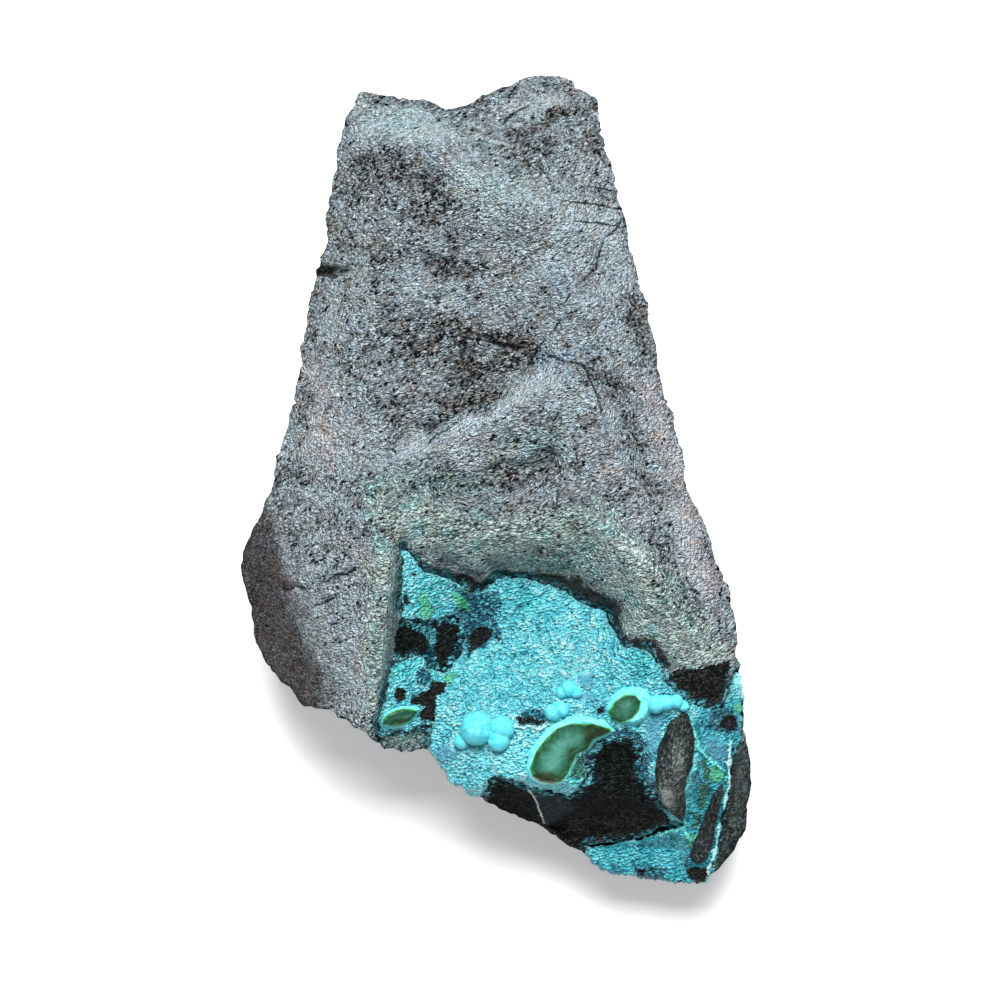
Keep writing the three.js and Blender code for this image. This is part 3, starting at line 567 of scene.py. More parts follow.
# The dark facet at the left corner, and the dark plate at the right of the broken end
LEFT_FACET = [
    (-26.5, 0.5), (-24.6, -2.6), (-22.7, -8), (-21.4, -12.5), (-19.9, -17.4), (-17.9, -22.4), (-18.6, -27),
    (-31, -27), (-31, 0),
]
PLATE = [
    (26.9, -29.1), (30, -29.1), (30, -47), (23.6, -47), (24.5, -45), (24.8, -43.3), (25.1, -41.7),
    (25.6, -39.4), (26, -37), (26.4, -33.8), (26.6, -31.3), (26.8, -29.8),
]
STRIATED_UNDERSIDE = [
    (-13.6, -27.8), (-10.7, -27.5), (-7.4, -27.2), (-7.2, -30.5), (-9.9, -32), (-13.6, -31),
]
# Soft streaks: a line of spots, strength and width. Positive ones are brown stains and painted shade in the
# hollows, negative ones painted light on the pale crowns and along the margins.
STAINS_AND_SHADING = [
    ([(-14.7, 35.7), (-11.1, 34.9)], 0.6, 1.2),
    ([(-10.6, 34.9), (-6.2, 33.8)], 0.8, 0.9),
    ([(-15, 33.6), (-8, 33.2)], 0.3, 2),
    ([(-8.4, 32.7), (-6.6, 31.5)], 0.2, 1),
    ([(-16.1, 31.6), (-7.3, 29.4)], 0.29, 2.5),
    ([(1.8, 38.2), (7, 41.2), (10.6, 42.1)], 0.94, 0.8),
    ([(4.8, 36.6), (11.4, 38.8)], 0.3, 2),
    ([(7, 33.8), (11.9, 31.6)], 0.33, 1.2),
    ([(1, 36), (2.6, 36.6)], 0.29, 1),
    ([(-4.8, 26.9), (-4.2, 24.3), (-6.2, 22.3)], 0.86, 0.9),
    ([(-7.3, 24.3), (-2.9, 23.2)], 0.43, 1.2),
    ([(-17.7, 26.1), (-12.8, 27.2)], 0.36, 1.5),
    ([(-17.2, 29.4), (-16.5, 25.6)], 0.43, 0.8),
    ([(-7, 16.2), (-2.9, 17.3), (3.2, 15.3)], 0.62, 1.1),
    ([(-3.7, 15.7), (-2.9, 11.3)], 0.8, 1.2),
    ([(0.4, 15.9), (3.7, 15)], 0.58, 0.8),
    ([(-8.5, 13.5), (1, 12.5)], 0.30, 3),
    ([(-9.5, 8.5), (-3.5, 7.5)], 0.3, 2.2),
    ([(0.4, 12.2), (4.4, 13.5)], 0.65, 0.9),
    ([(-1.8, 9.6), (-7.3, 5.8)], 0.72, 1.3),
    ([(-12.2, 9.1), (-10.3, 5.8)], 0.58, 1.5),
    ([(-16.1, 15.1), (-7.3, 17.9)], 0.29, 2),
    ([(0.4, 10), (-2.3, 8.5)], 0.58, 0.7),
    ([(15.8, 20.1), (16.5, 14.8)], 0.72, 0.9),
    ([(14.2, 20.1), (15.8, 17.9)], 0.43, 0.6),
    ([(11.4, 12.4), (13.8, 10.6)], 0.72, 1),
    ([(12.5, 9.1), (14.2, 6.9)], 0.4, 1),
    ([(14.7, 5.8), (15.8, 4)], 0.35, 0.9),
    ([(15.8, 1.4), (17.5, -0.8)], 0.6, 1),
    ([(0.4, 1.4), (5.7, 3)], 0.7, 0.9),
    ([(-4.5, 0.1), (0.4, -0.3)], 0.6, 0.9),
    ([(2.1, 0.1), (6.2, 1.4)], 0.65, 1.2),
    ([(-21.8, 9.1), (-21.3, 6.3)], 0.86, 0.6),
    ([(-24, 1.4), (-21.6, 0.1)], 0.58, 1),
    ([(-18.3, -4.1), (-15.8, -5.9)], 0.33, 1.2),
    ([(-21.6, -7.4), (-17.7, -8.7)], 0.2, 1),
    ([(-19.4, -15.3), (-16.6, -23.9)], -0.35, 2.4),
    ([(8.7, 23.9), (10.6, 21.2)], 0.43, 0.5),
    ([(0.4, 27.8), (5.1, 26.7)], 0.29, 0.8),
    ([(8.7, 30.5), (13.9, 30.2)], 0.58, 0.4),
    ([(18, -6.3), (21.3, -14.9)], 0.55, 1.6),
    ([(-14.4, 39.9), (-6.2, 39.3)], -0.9, 1.8),
    ([(-4.5, 34.4), (2.6, 31.6), (11.4, 28.9)], -0.8, 2),
    ([(5.4, 11.7), (0.4, 8), (-6.2, 5.1), (-10, 3.7)], -1.2, 1.1),
    ([(5.4, 12.9), (11.4, 8)], -0.4, 1.4),
    ([(7, 25.6), (12.8, 21)], -0.3, 2),
    ([(-19.4, 5.6), (-13.6, 3.4)], -0.4, 2),
    ([(18, 9.1), (22.7, -2.5)], -0.5, 1.2),
    ([(-21.6, -0.8), (-18.3, -1.9)], -0.4, 1.2),
    ([(-15, 42.3), (-6.2, 40.6)], -0.8, 1),
    ([(20.5, -3.5), (23.2, -11)], -1, 1.3),
    ([(12.3, 30.5), (14.6, 22.5)], -0.4, 1.1),
    ([(1.5, 42), (6.5, 43.2)], -0.8, 0.8),
]
# Margins with a pinkish cast, and veins with a blue one
PINKISH = [
    ([(17.5, 10.7), (21.8, -4.1), (23.6, -11.5)], 1, 1.6),
    ([(-21, 12.4), (-19.1, 2.5)], 1, 1.8),
    ([(10.3, 5.8), (15.8, -4.1)], 0.6, 1.4),
]
BLUISH = [
    ([(5.1, 14.4), (10.6, 14.6)], 1, 0.5),
    ([(4.8, 13.9), (11.4, 10.8)], 0.6, 1),
    ([(2.6, 20.1), (7, 21.2)], 0.5, 1.5),
]
# Soft spots: centre, the two radii and strength
GREEN_BLOOMS = [
    (-9.5, 40.5, 7.5, 3, 0.5), (0.5, 32.5, 6, 3.5, 0.5), (-10.4, 0, 5, 2.2, 1),
    (4.5, 4, 5, 2.4, 0.6), (-2.5, -0.4, 3, 1.4, 0.8), (9, 8, 3, 3.5, 0.3),
    (12, 27, 3, 3.5, 0.2),
]
WHITE_VEINS = [
    [(12, -6.5), (14.7, -7.2), (17.2, -7.8)], [(18.6, -9.3), (20.6, -9.7), (22.6, -9.8)],
    [(14.6, -16.6), (16.4, -15.2), (18.6, -15.1)], [(19.4, -17.7), (21.7, -18.4), (23.1, -19.2)],
    [(22.6, -20), (24.1, -19.6), (25.9, -19.4)], [(3.7, -34.4), (4.7, -36.3), (5.9, -39.8)],
]
GLITTERING_EDGES = [
    [(-4.2, -5), (0.5, -5.1), (4.9, -5.8)],
    [(9.6, -5.4), (12.6, -6.8)],
    [(-14.1, -12.9), (-14.8, -17.4), (-15.3, -21.9), (-15.7, -25.3)],
    [(14, -5), (17, -9.5), (20, -14), (23, -17.5)],
]
FACE_SPACING, RIM_SPACING, BACK_SPACING, SIDE_ROWS = 0.27, 0.37, 0.85, 30
# The distance that stands for a point far from any zone, or from any line, because it is off the face
OFF_ZONES, OFF_LINES = 5.0, 9.0
# The grain of the rock is turned by this many degrees
GRAIN_TURN = 20


def tuck_share(points):
    """How much further than usual the sides are tucked under, which varies round the stone."""
    x, y = points[:, 0], points[:, 1]
    return 1 + 0.32 * np.sin(0.19 * x + 0.11 * y + 1) + 0.22 * np.sin(0.31 * y - 0.12 * x + 2)


def tucked_in(ring, distance):
    """Each point of a ring moved towards the spine until it is the given distance inside the outline."""
    spine = np.column_stack([np.full(len(ring), SPINE_X), np.clip(ring[:, 1], SPINE_LOW, SPINE_HIGH)])
    near, far = np.zeros(len(ring)), np.ones(len(ring))
    for _ in range(14):
        middle = (near + far) / 2
        outside = edge_distance(ring + (spine - ring) * middle[:, None], OUTLINE) > -distance
        near, far = np.where(outside, middle, near), np.where(outside, far, middle)
    return ring + (spine - ring) * near[:, None]


def back_height(points):
    """Height in mm of the underside: flat on the table, and the broken slopes round that."""
    slopes = [break_height(plane, points) for plane in BACK_BREAKS]
    return np.maximum.reduce([*slopes, np.zeros(len(points))])


rim_ring = ring_of(OUTLINE, RIM_SPACING, wobble=0.13, seed=3)
ring_count = len(rim_ring)
face_plan, face_triangles = fill(rim_ring, FACE_SPACING)
face_points = np.column_stack([face_plan, face_height(face_plan) - bumps_along(face_plan, GROOVES)])
rim_heights = face_points[:ring_count, 2]

tucked = np.array([tucked_in(rim_ring, tuck * tuck_share(rim_ring)) for tuck in SIDE_TUCKS])
side_rows = []
for share in np.linspace(1, 0, SIDE_ROWS)[1:]:
    upper = int(np.searchsorted(SIDE_SHARES, share, side="right").clip(1, len(SIDE_SHARES) - 1))
    part = (share - SIDE_SHARES[upper - 1]) / (SIDE_SHARES[upper] - SIDE_SHARES[upper - 1])
    row = tucked[upper - 1] * (1 - part) + tucked[upper] * part
    side_rows.append(np.column_stack([row, np.maximum(share * rim_heights, back_height(row))]))
back_plan, back_triangles = fill(side_rows[-1][:, :2], BACK_SPACING)
back_loose = back_plan[ring_count:]

side_start = len(face_points)
seat_start = side_start + ring_count * (len(side_rows) - 1)
rock_points = np.vstack([face_points, *side_rows, np.column_stack([back_loose, back_height(back_loose)])])
rings = [np.arange(ring_count)]
rings += [side_start + row * ring_count + np.arange(ring_count) for row in range(len(side_rows))]
rock_triangles = np.vstack([
    face_triangles,
    *[wall_between(upper, lower) for upper, lower in zip(rings, rings[1:])],
    (back_triangles + seat_start)[:, ::-1],
])

plan = rock_points[:, :2]
normals = vertex_normals(rock_points, rock_triangles)
on_face = np.arange(len(rock_points)) < side_start
side = within(normals[:, 2], 0.05, 0.5)
margin = np.where(on_face, -edge_distance(plan, OUTLINE), 0)
worn_edge = within(margin, 0.3, 3.5)
dark = zone_distance(plan, DARK_ROCK)
dark_end = 0.4 * (plan[:, 1] + 29 + 0.25 * plan[:, 0]) + 1.5 * turbulence(rock_points, 5.0, 3, 9.0)
dark = np.where(on_face, dark, dark_end)
wall = np.where(on_face, edge_distance(plan, SMOOTH_WALL), OFF_ZONES)
facet = edge_distance(plan, LEFT_FACET) + 0.4 * np.clip(10 - rock_points[:, 2], 0, None)
plate = edge_distance(plan, PLATE)
underside = edge_distance(plan, STRIATED_UNDERSIDE)
crumble = edge_distance(plan, CRUMBLING_BAND)
crust_edge = np.where(on_face, edge_distance(plan, DRUSE), OFF_ZONES)

smooth_zones = np.column_stack([
    within(wall, -1.2, 0.6), within(facet, -0.8, 0.5), within(plate, -0.6, 0.3), within(dark, -0.3, 0.4),
])
weathered = 1 - (smooth_zones * (0.85, 0.7, 0.9, 1.0)).max(axis=1)
bumpy = 1 - (smooth_zones * (0.25, 0.6, 0.7, 0.6)).max(axis=1)
drift = np.column_stack([turbulence(rock_points, 3.0, 4, seed) for seed in (20.0, 21.0)])
streaked = plan + 0.9 * drift
stain = bumps_along(streaked, STAINS_AND_SHADING) * on_face + 0.1 * worn_edge
stain += 0.3 * turbulence(rock_points, 7.0, 4, 12.0)
coarse = 0.32 * turbulence(rock_points, 6.0, 3, 1.0) * (0.4 + 0.6 * weathered + 0.2 * side)
fine = 0.26 * turbulence(rock_points * (0.75, 1.25, 1.0), 1.7, 5, 2.0) * (0.22 + 0.78 * weathered)
fine *= 1 + 0.5 * np.clip(stain, -0.5, 1.2)
turn = np.radians(GRAIN_TURN)
turned = plan @ np.array([[np.cos(turn), -np.sin(turn)], [np.sin(turn), np.cos(turn)]])
slanted = turned / (1.8, 1.0)
pit_near, _, pit_chance = grains(slanted + 0.6 * fine[:, None], 0.75, 5)
pits = 0.32 * (pit_chance[:, 2] > 0.45) * pit_chance[:, 3] * within(pit_near, 0.1, 0.42)
pits *= weathered * on_face * (0.7 + 0.5 * np.clip(stain, -0.6, 1))
_, chip_offset, chip_chance = grains(rock_points, 4.5, 8)
chips = 0.16 * (chip_offset * (chip_chance[:, :3] - 0.5)).sum(axis=1) * np.maximum(side, 0.5 * worn_edge)
rugged = 0.36 * np.abs(turbulence(rock_points * (1.0, 1.0, 1.7), 4.0, 5, 4.0))
rugged *= np.maximum(side, 0.6 * worn_edge)
broken = 0.3 * np.abs(turbulence(rock_points * (0.8, 1.6, 1.6), 2.4, 5, 5.0)) * within(dark, -0.4, 0.2)
broken *= 1 - 0.8 * within(edge_distance(plan, SMOOTH_FACET), -0.2, 0.5)
striae = 0.2 * np.sin(7.0 * rock_points[:, 2] + 2.5 * plan[:, 1] + 3 * coarse) * within(underside, -0.3, 0.4)
ledge = -0.5 * within(crumble, -0.4, 0.1) * on_face
bed = -0.9 * within(crust_edge, -0.7, -0.1)
push = coarse + fine - pits - chips - rugged - broken + striae + bed + ledge - 0.1 * weathered + 0.2 * side
rock_points = rock_points + normals * push[:, None]
rock_points[:, 2] = np.maximum(rock_points[:, 2], 0)

rock_marks = {
    "dark": dark,
    "wall": wall,
    "facet": facet,
    "plate": plate,
    "underside": underside,
    "crumble": np.minimum(crumble, edge_distance(plan, DARK_ROCK[1]) + 0.2),
    "bumpy": bumpy,
    "dusted": np.where(on_face, edge_distance(plan, DUSTED_ROCK), OFF_ZONES),
    "smooth": edge_distance(plan, SMOOTH_FACET),
    "crust": crust_edge,
    "shade": bumps_along(plan, SHADED_LINES) * on_face,
    "stain": stain,
    "green": spots_at(streaked, GREEN_BLOOMS) * on_face,
    "pinkish": bumps_along(streaked, PINKISH) * on_face,
    "bluish": bumps_along(streaked, BLUISH) * on_face,
    "vein": np.where(on_face, beside_line(plan, WHITE_VEINS), OFF_LINES),
    "crack": np.where(on_face, beside_line(plan, [groove[0] for groove in GROOVES]), OFF_LINES),
    "glitter": np.where(on_face, np.abs(beside_line(plan, GLITTERING_EDGES)), OFF_LINES),
}

CRUMB_SIZE, SMALL_CRUMB_SIZE = 0.34, 0.19

rock = Finish("weathered dolomite", Specular_IOR_Level=0.1)
slant = rock.slanted(GRAIN_TURN, 1.7)
uneven = rock.shaken(slant, 0.5, 0.35)
crumb = rock.cells(CRUMB_SIZE, uneven)
chance = rock.cells(CRUMB_SIZE, uneven, "Color")
small = rock.cells(SMALL_CRUMB_SIZE, uneven)
small_chance = rock.cells(SMALL_CRUMB_SIZE, uneven, "Color")
grain = rock.noise(0.22, 3, 0.65, slant)
forms = rock.noise(1.1, place=slant)
patch = rock.noise(2.4, 5, 0.62)
tints = rock.noise(2.0)
# The stain mark is brown staining together with painted shade in hollows and painted light on crowns
stain_shading_level = rock.mark("stain") + patch * 2.2
rough = stain_shading_level.step(-0.7, 1.1)
bumpy = rock.mark("bumpy")
holes = (rough * 0.32 + forms + 0.09) * bumpy
sunk = (holes - chance).step(0.0, 0.06)
pit_shade = sunk * (crumb + grain * 0.9).step(0.62, 0.34)
nick_shade = (holes * 0.7 - small_chance).step(0.0, 0.06) * small.step(0.5, 0.3)
crease_shade = crumb.step(0.5, 0.75) * rough
height = crumb * (sunk * 2 - 1) * 3.6 - small * 2.4 + (forms + 0.5) * 3.5
height = height * bumpy * (0.75 + 0.4 * rough)
detail = (small_chance - 0.5) * 0.42 + (chance - 0.5) * 0.18 + forms * 0.2 + grain * 0.6
detail = detail * (0.9 + 0.4 * rough)
tone = 0.59 + detail + rock.mark("pinkish") * 0.05
# Painted shade: the colour is darkened in the sunk pits, the small nicks and the creases between grains
tone = tone - pit_shade * 0.46 - nick_shade * 0.34 - crease_shade * 0.16 - stain_shading_level * 0.10

skin = rock.ramp(
    tone, (0.0, (0.006, 0.006, 0.006)), (0.22, (0.035, 0.035, 0.037)), (0.38, (0.18, 0.20, 0.215)),
    (0.52, (0.335, 0.402, 0.452)), (0.75, (0.71, 0.85, 0.93)),
)
skin = rock.tinted(tints.step(0.0, 0.12) * 0.65, skin, (0.95, 0.81, 0.70))
skin = rock.tinted(tints.step(-0.04, -0.14) * 0.6, skin, (0.86, 0.98, 1.0))
skin = rock.tinted(rough.step(0.5, 1.0) * 0.6, skin, (0.84, 0.74, 0.68))
skin = rock.tinted((rock.mark("green") + patch * 0.8).step(0.1, 0.8) * 0.8, skin, (0.78, 0.98, 0.90))
skin = rock.tinted(rock.mark("pinkish") * 0.8, skin, (1.05, 0.88, 0.84))
skin = rock.tinted((rock.mark("bluish") + grain).step(0.2, 0.9) * 0.7, skin, (0.66, 0.86, 1.02))

wall_skin = rock.ramp(
    tone, (0.10, (0.016, 0.021, 0.021)), (0.36, (0.13, 0.18, 0.175)), (0.54, (0.33, 0.43, 0.42)),
    (0.78, (0.75, 0.95, 0.93)),
)
wall_skin = rock.tinted(tints.step(-0.02, -0.12) * 0.8, wall_skin, (0.68, 1.0, 1.05))
wall_skin = rock.tinted(tints.step(0.04, 0.14) * 0.5, wall_skin, (0.95, 0.80, 0.70))
skin = rock.mix(rock.inside("wall", patch * 3.5 + grain * 2, 0.9) * 0.95, skin, wall_skin)
facet_skin = rock.ramp(
    tone, (0.2, (0.011, 0.010, 0.011)), (0.5, (0.050, 0.048, 0.051)), (0.72, (0.15, 0.15, 0.155)),
)
facet_skin = rock.tinted(tints.step(0.0, 0.1) * 0.8, facet_skin, (0.95, 0.8, 0.74))
skin = rock.mix((rock.mark("facet") + grain * 3 + patch * 6).step(1.6, -2.4), skin, facet_skin)
skin = rock.layered(
    skin, rock.inside("underside", grain, 0.2),
    tone, (0.3, (0.03, 0.06, 0.06)), (0.5, (0.16, 0.26, 0.26)), (0.7, (0.42, 0.56, 0.54)),
)
skin = rock.layered(
    skin, rock.inside("plate", grain * 0.5, 0.1),
    tone, (0.25, (0.007, 0.011, 0.011)), (0.5, (0.024, 0.036, 0.036)), (0.72, (0.12, 0.155, 0.15)),
)

# Painted shade and shadow: darker and browner along the shaded lines
shade = rock.mark("shade")
skin = rock.tinted(shade.step(0.0, 0.5) * 0.6, skin, (0.60, 0.56, 0.52))
skin = rock.layered(
    skin, (shade + forms * 1.7 + grain).step(0.3, 0.65) * 0.92,
    tone, (0.3, (0.010, 0.011, 0.011)), (0.7, (0.055, 0.050, 0.046)),
)
glint = chance.step(0.62, 0.68) * crumb.step(0.62, 0.42)
skin = rock.mix((rock.mark("glitter") + forms * 2).step(1.2, 0.2) * glint, skin, (0.85, 1.0, 0.97))

streak = rock.noise(0.3, 4, 0.7, rock.slanted(16, 4.0))
fresh_tone = 0.5 + detail + streak * 0.6
fresh = rock.ramp(
    fresh_tone, (0.28, (0.0015, 0.0015, 0.0015)), (0.5, (0.005, 0.0068, 0.0068)),
    (0.76, (0.026, 0.034, 0.034)),
)
fresh = rock.layered(
    fresh, rock.inside("smooth", patch * 0.8, 0.2),
    fresh_tone, (0.3, (0.012, 0.018, 0.021)), (0.7, (0.035, 0.05, 0.055)),
)
crumbs = rock.mark("crumble").step(0.1, -0.3) * (grain * 0.7 + forms * 0.3).step(0.0, 0.1)
fresh = rock.mix(crumbs * 0.8, fresh, (0.085, 0.078, 0.068))
dust = rock.inside("dusted", grain + forms, 0.1) * (grain * 0.6 + forms * 0.4).step(-0.28, -0.10)
skin = rock.layered(
    skin, dust,
    chance, (0.2, (0.012, 0.06, 0.085)), (0.5, (0.05, 0.27, 0.33)), (0.8, (0.18, 0.60, 0.66)),
)
skin = rock.mix(rock.inside("dark", grain * 1.1 + forms * 0.8, 0.12), skin, fresh)
crust_dust = (rock.mark("crust") + grain * 2.4 + forms * 2.2).step(0.7, 0.2)
skin = rock.layered(
    skin, crust_dust * rock.mark("plate").step(-0.3, 0.0) * 0.9,
    chance, (0.4, (0.006, 0.03, 0.045)), (0.55, (0.03, 0.16, 0.21)), (0.75, (0.16, 0.60, 0.68)),
)

vein = (rock.mark("vein") + patch * 0.9 + grain * 0.4).size()
skin = rock.mix(vein.step(0.13, 0.06) * grain.step(-0.16, -0.06), skin, (0.72, 0.80, 0.78))
crack = (rock.mark("crack") + patch * 0.8 + grain * 0.4).size()
open_crack = crack.step(0.16, 0.06) * (patch + grain * 0.6).step(-0.16, -0.08)
skin = rock.mix(open_crack * 0.9, skin, (0.012, 0.011, 0.014))
rock_finish = rock.surface(skin, 0.9, height, 0.5)

host = build_piece("host_rock_dressed", rock_points, rock_triangles, rock_marks, rock_finish)
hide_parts("host_rock")

# The druse is a crust of chrysocolla under a sugar of tiny crystals. It lines the hollow, runs over its lip
# and down the broken end, and stops raggedly against the wall where the rock shows dark.

# Parts of the crust: bare dark rock, deep blue, clear glassy blue, green, olive, pale, and a bluer region
DRUSE_DARK = [
    [
        (-2.9, -17.1), (-2, -16.2), (-1, -16.1), (-0.3, -16.5), (-0.3, -17.2), (-1.3, -18),
        (-2.4, -18.8), (-3, -19), (-3, -18.1),
    ],
    [(0, -17.2), (0.5, -17.4), (0.9, -17.9), (0.2, -17.8)],
    [(-11.3, -22.9), (-10.7, -22.7), (-10, -23.4), (-10.2, -24.3), (-10.8, -24.5), (-11.3, -23.9)],
    [
        (-8.4, -23.6), (-7.6, -23.2), (-7.2, -22), (-5.5, -22.4), (-5.8, -23.3), (-6.7, -23.6),
        (-6.7, -25), (-6.9, -26.8), (-8.1, -26.8), (-8.6, -26), (-8, -24.9), (-9.4, -24.7),
        (-9.5, -24),
    ],
    [(-10.2, -12.6), (-9.7, -12.5), (-9.6, -13.4), (-10, -13.6)],
    [(-9.3, -10), (-8.8, -10), (-8.8, -10.4), (-9.2, -10.4)],
    [(18.3, -23.3), (19.1, -23.3), (19.3, -24), (18.5, -24.1)],
    [(11.1, -25), (12, -24.8), (12, -25.6), (11.3, -25.8)],
    [(2.2, -26.3), (3.8, -26.1), (5.5, -26.3), (5.4, -26.8), (3.8, -26.9), (2.3, -26.7)],
    [(16.1, -43.9), (16.9, -43.9), (16.8, -44.5), (16.2, -44.5)],
    [(21.4, -43.9), (22.9, -43.3), (23.9, -43.7), (23.9, -45.4), (22.5, -45.6)],
    [(25.3, -26), (26.9, -26.2), (27.2, -27.4), (26, -27.9), (25, -27.2)],
]
DRUSE_DEEP = [
    [
        (-4.9, -11.2), (-3.4, -11.9), (-1.8, -12.4), (-0.3, -12.2), (0.6, -13.3), (0.3, -14.6),
        (-0.3, -15.6), (0.5, -16.6), (0.2, -17.4), (-1.6, -18.4), (-3.2, -19.6), (-3.9, -18.6),
        (-3.8, -15.6), (-5.2, -14.6), (-3.6, -13.4),
    ],
    [(2.1, -26.4), (2.9, -25.4), (3.8, -25.2), (5.4, -25.4), (5.6, -26.3)],
    [(-9, -21.1), (-8, -20.6), (-7.3, -21.2), (-7.4, -22.1), (-8, -22.7), (-9, -22.5)],
    [
        (23.9, -25.3), (25.3, -24.7), (26.6, -25.7), (27.3, -26.6), (27.2, -28.1), (26, -28.4),
        (24.6, -28.1), (23.8, -26.8),
    ],
    [(21.3, -32.6), (22.8, -32.5), (22.9, -33.4), (21.9, -33.7)],
    [
        (9.4, -31.4), (9.8, -29.8), (10.8, -28.4), (12.4, -27.4), (14.6, -27.2), (16.5, -28),
        (16, -29.8), (11, -30),
    ],
    [
        (15.6, -28.6), (17, -29), (17.4, -30.6), (16.9, -31.8), (17.9, -33.4), (18.2, -35.4),
        (16.8, -34.6), (15.4, -32),
    ],
    [(22.3, -38.2), (23.2, -38.3), (22.8, -39.4), (21.8, -38.9)],
    [(15.4, -43.8), (17.2, -43.4), (19.2, -43.9), (19, -44.8), (17, -45.2), (15.6, -44.8)],
    [(21, -42.4), (22, -42), (22.4, -43.4), (21.4, -44)],
]
DRUSE_GLASS = [
    [(8.8, -21.5), (9.6, -21), (10.7, -21.4), (10.9, -22.4), (10.1, -22.9), (9.1, -22.5)],
    [(7.8, -23.1), (9.3, -23.5), (10.5, -23.3), (11.3, -24.2), (10.2, -24.6), (8.8, -24.2)],
    [
        (16.6, -25.6), (17.7, -25.4), (18.8, -26.1), (18.2, -28.4), (17.8, -30.4), (17.1, -31.1),
        (16.7, -30.4), (16.6, -28.1),
    ],
    [
        (23.3, -28.9), (24.4, -28.4), (25.8, -29), (26.1, -30.2), (25.8, -31.5), (24.4, -31.1),
        (23.5, -30.1),
    ],
    [(-7, -30.2), (-5.8, -29.4), (-4.6, -29.6), (-4.4, -30.6), (-5.4, -31.4), (-6.3, -31.2)],
]
DRUSE_GREEN = [
    [
        (-8.5, -11.6), (-8, -12.2), (-7.5, -13.1), (-7, -13.8), (-6.9, -14.5), (-7.4, -15.1),
        (-7.8, -15.7), (-8.7, -15), (-8.4, -14), (-8.5, -12.9),
    ],
    [(-4.9, -12), (-4, -12.4), (-2.9, -13.6), (-3, -14.4), (-4, -14), (-4.9, -12.9)],
    [(-6.5, -21.9), (-4.9, -21), (-4.4, -21.3), (-5.1, -22.6), (-6.1, -22)],
    [(23.7, -31.8), (24.7, -31.7), (25.5, -32.7), (25.4, -33.5), (24.4, -33.7), (23.9, -33.2)],
    [(21.1, -39.1), (21.6, -39), (22.5, -39.9), (22.6, -41.1), (21.9, -41.2), (21.2, -40.3)],
    [(26.5, -25), (27.5, -24.6), (27.7, -25.6), (26.8, -25.9)],
]
DRUSE_OLIVE = [
    [(22.9, -31), (23.4, -30.8), (23.9, -32), (23.8, -33.4), (23.3, -33.2)],
    [
        (22.9, -33.6), (23.7, -33.6), (23.9, -34.8), (23.5, -36.2), (22.9, -37), (22.6, -36),
        (22.9, -35),
    ],
    [(22.2, -37.2), (23, -37), (23.1, -38.4), (22.3, -39)],
    [(20.9, -25.9), (21.4, -25.9), (21.8, -27.6), (21.4, -27.6)],
    [
        (8.5, -32.9), (8.5, -31.7), (9.1, -30.5), (9.9, -30.2), (10.5, -31), (11.1, -32.1),
        (10.4, -32.6), (9.4, -33.1),
    ],
]
DRUSE_PALE = [
    [
        (17.8, -24.2), (19.6, -23.8), (21.4, -24.5), (21.7, -25.3), (20.7, -25.1), (19.6, -26),
        (18.2, -25.5),
    ],
    [(26.4, -20.1), (27.5, -20.8), (27.6, -22.8), (26.9, -23.4), (26.4, -22.3)],
]
DRUSE_BLUER = [
    [
        (20.9, -34.4), (21.7, -32.6), (22.6, -30.8), (22, -28), (22, -25.4), (23.7, -25.2), (26, -24.4),
        (27.8, -24), (28, -28.5), (27.2, -30.5), (26.5, -33), (24.6, -42), (23.6, -46), (8, -46),
        (9, -41.5), (13, -40.8), (17.5, -40), (20.8, -38.8),
    ],
]
# Narrow pale seams along the crust
WHITE_LINES = [
    [
        (26.3, -29.2), (26.1, -31), (26.2, -33.4), (25.8, -36.6), (25.4, -38.5), (25, -40.3),
        (24.5, -42.6), (23.6, -45.3),
    ],
    [(1.8, -27.1), (3.6, -27.2), (5.3, -27.2)],
]
CYAN_LINES = [
    [(20.6, -24.6), (21.7, -26.2), (22.3, -28.5), (22.9, -30), (25.5, -32.4)],
    [(22.2, -31.8), (20.9, -34.9), (20.9, -38), (21.9, -40.3)],
    [(18.4, -39.4), (20.8, -38.9)],
    [(8.1, -33.8), (8.2, -32.3), (8.5, -30.9), (9.3, -29.8)],
    [(8.3, -33.4), (9.4, -33.3), (10.6, -32.7), (11.2, -32.1)],
]
# Soft spots where the crust is clean and bright
BRIGHT_SPOTS = [
    (-8.5, -11.5, 2.4, 3.2, 0.8), (0.5, -30.5, 4.5, 2.4, 1.9), (-11, -21.5, 1.6, 1.6, 0.5),
    (12, -42, 2, 1, 0.6),
]
# Soft spots of frosted sugar, and of a greener and clearer one where the strength is negative
FROSTS = [
    (10, -18.6, 3.5, 3, 0.9), (4.5, -20.5, 3, 2.5, 0.5), (-3, -24.5, 3, 2, 0.5),
    (3.5, -13.2, 3, 2, -0.7), (16, -20, 2.2, 2.2, -0.7), (13, -16.5, 1.5, 1.5, -0.5),
    (-8, -11.5, 2.5, 3, -0.8), (1, -31.2, 4, 2, -0.6), (-10.5, -21.2, 1.6, 1.6, -0.6),
    (19.6, -42.9, 1.6, 1.1, 1.6), (14, -42.3, 3.4, 1.1, 0.9),
]
DRUSE_SPACING, DRUSE_RING_SPACING, DRUSE_BED_SPACING = 0.13, 0.15, 0.5
CRUST_THICKNESS = 1.1
# The most points in a loop that the frayed ring makes where it crosses itself
LONGEST_LOOP = 24


def untangled(ring):
    """The ring without the small loops in which it crosses itself."""
    points = [Vector(point) for point in ring.tolist()]
    for _ in range(3):
        start = 0
        while start + LONGEST_LOOP + 1 < len(points):
            for ahead in range(LONGEST_LOOP, 1, -1):
                later = start + ahead
                stretches = points[start], points[start + 1], points[later], points[later + 1]
                crossing = intersect_line_line_2d(*stretches)
                if crossing:
                    points[start + 1 : later + 1] = [crossing]
                    break
            start += 1
        points = points[len(points) // 2 :] + points[: len(points) // 2]
    return np.array([tuple(point) for point in points])


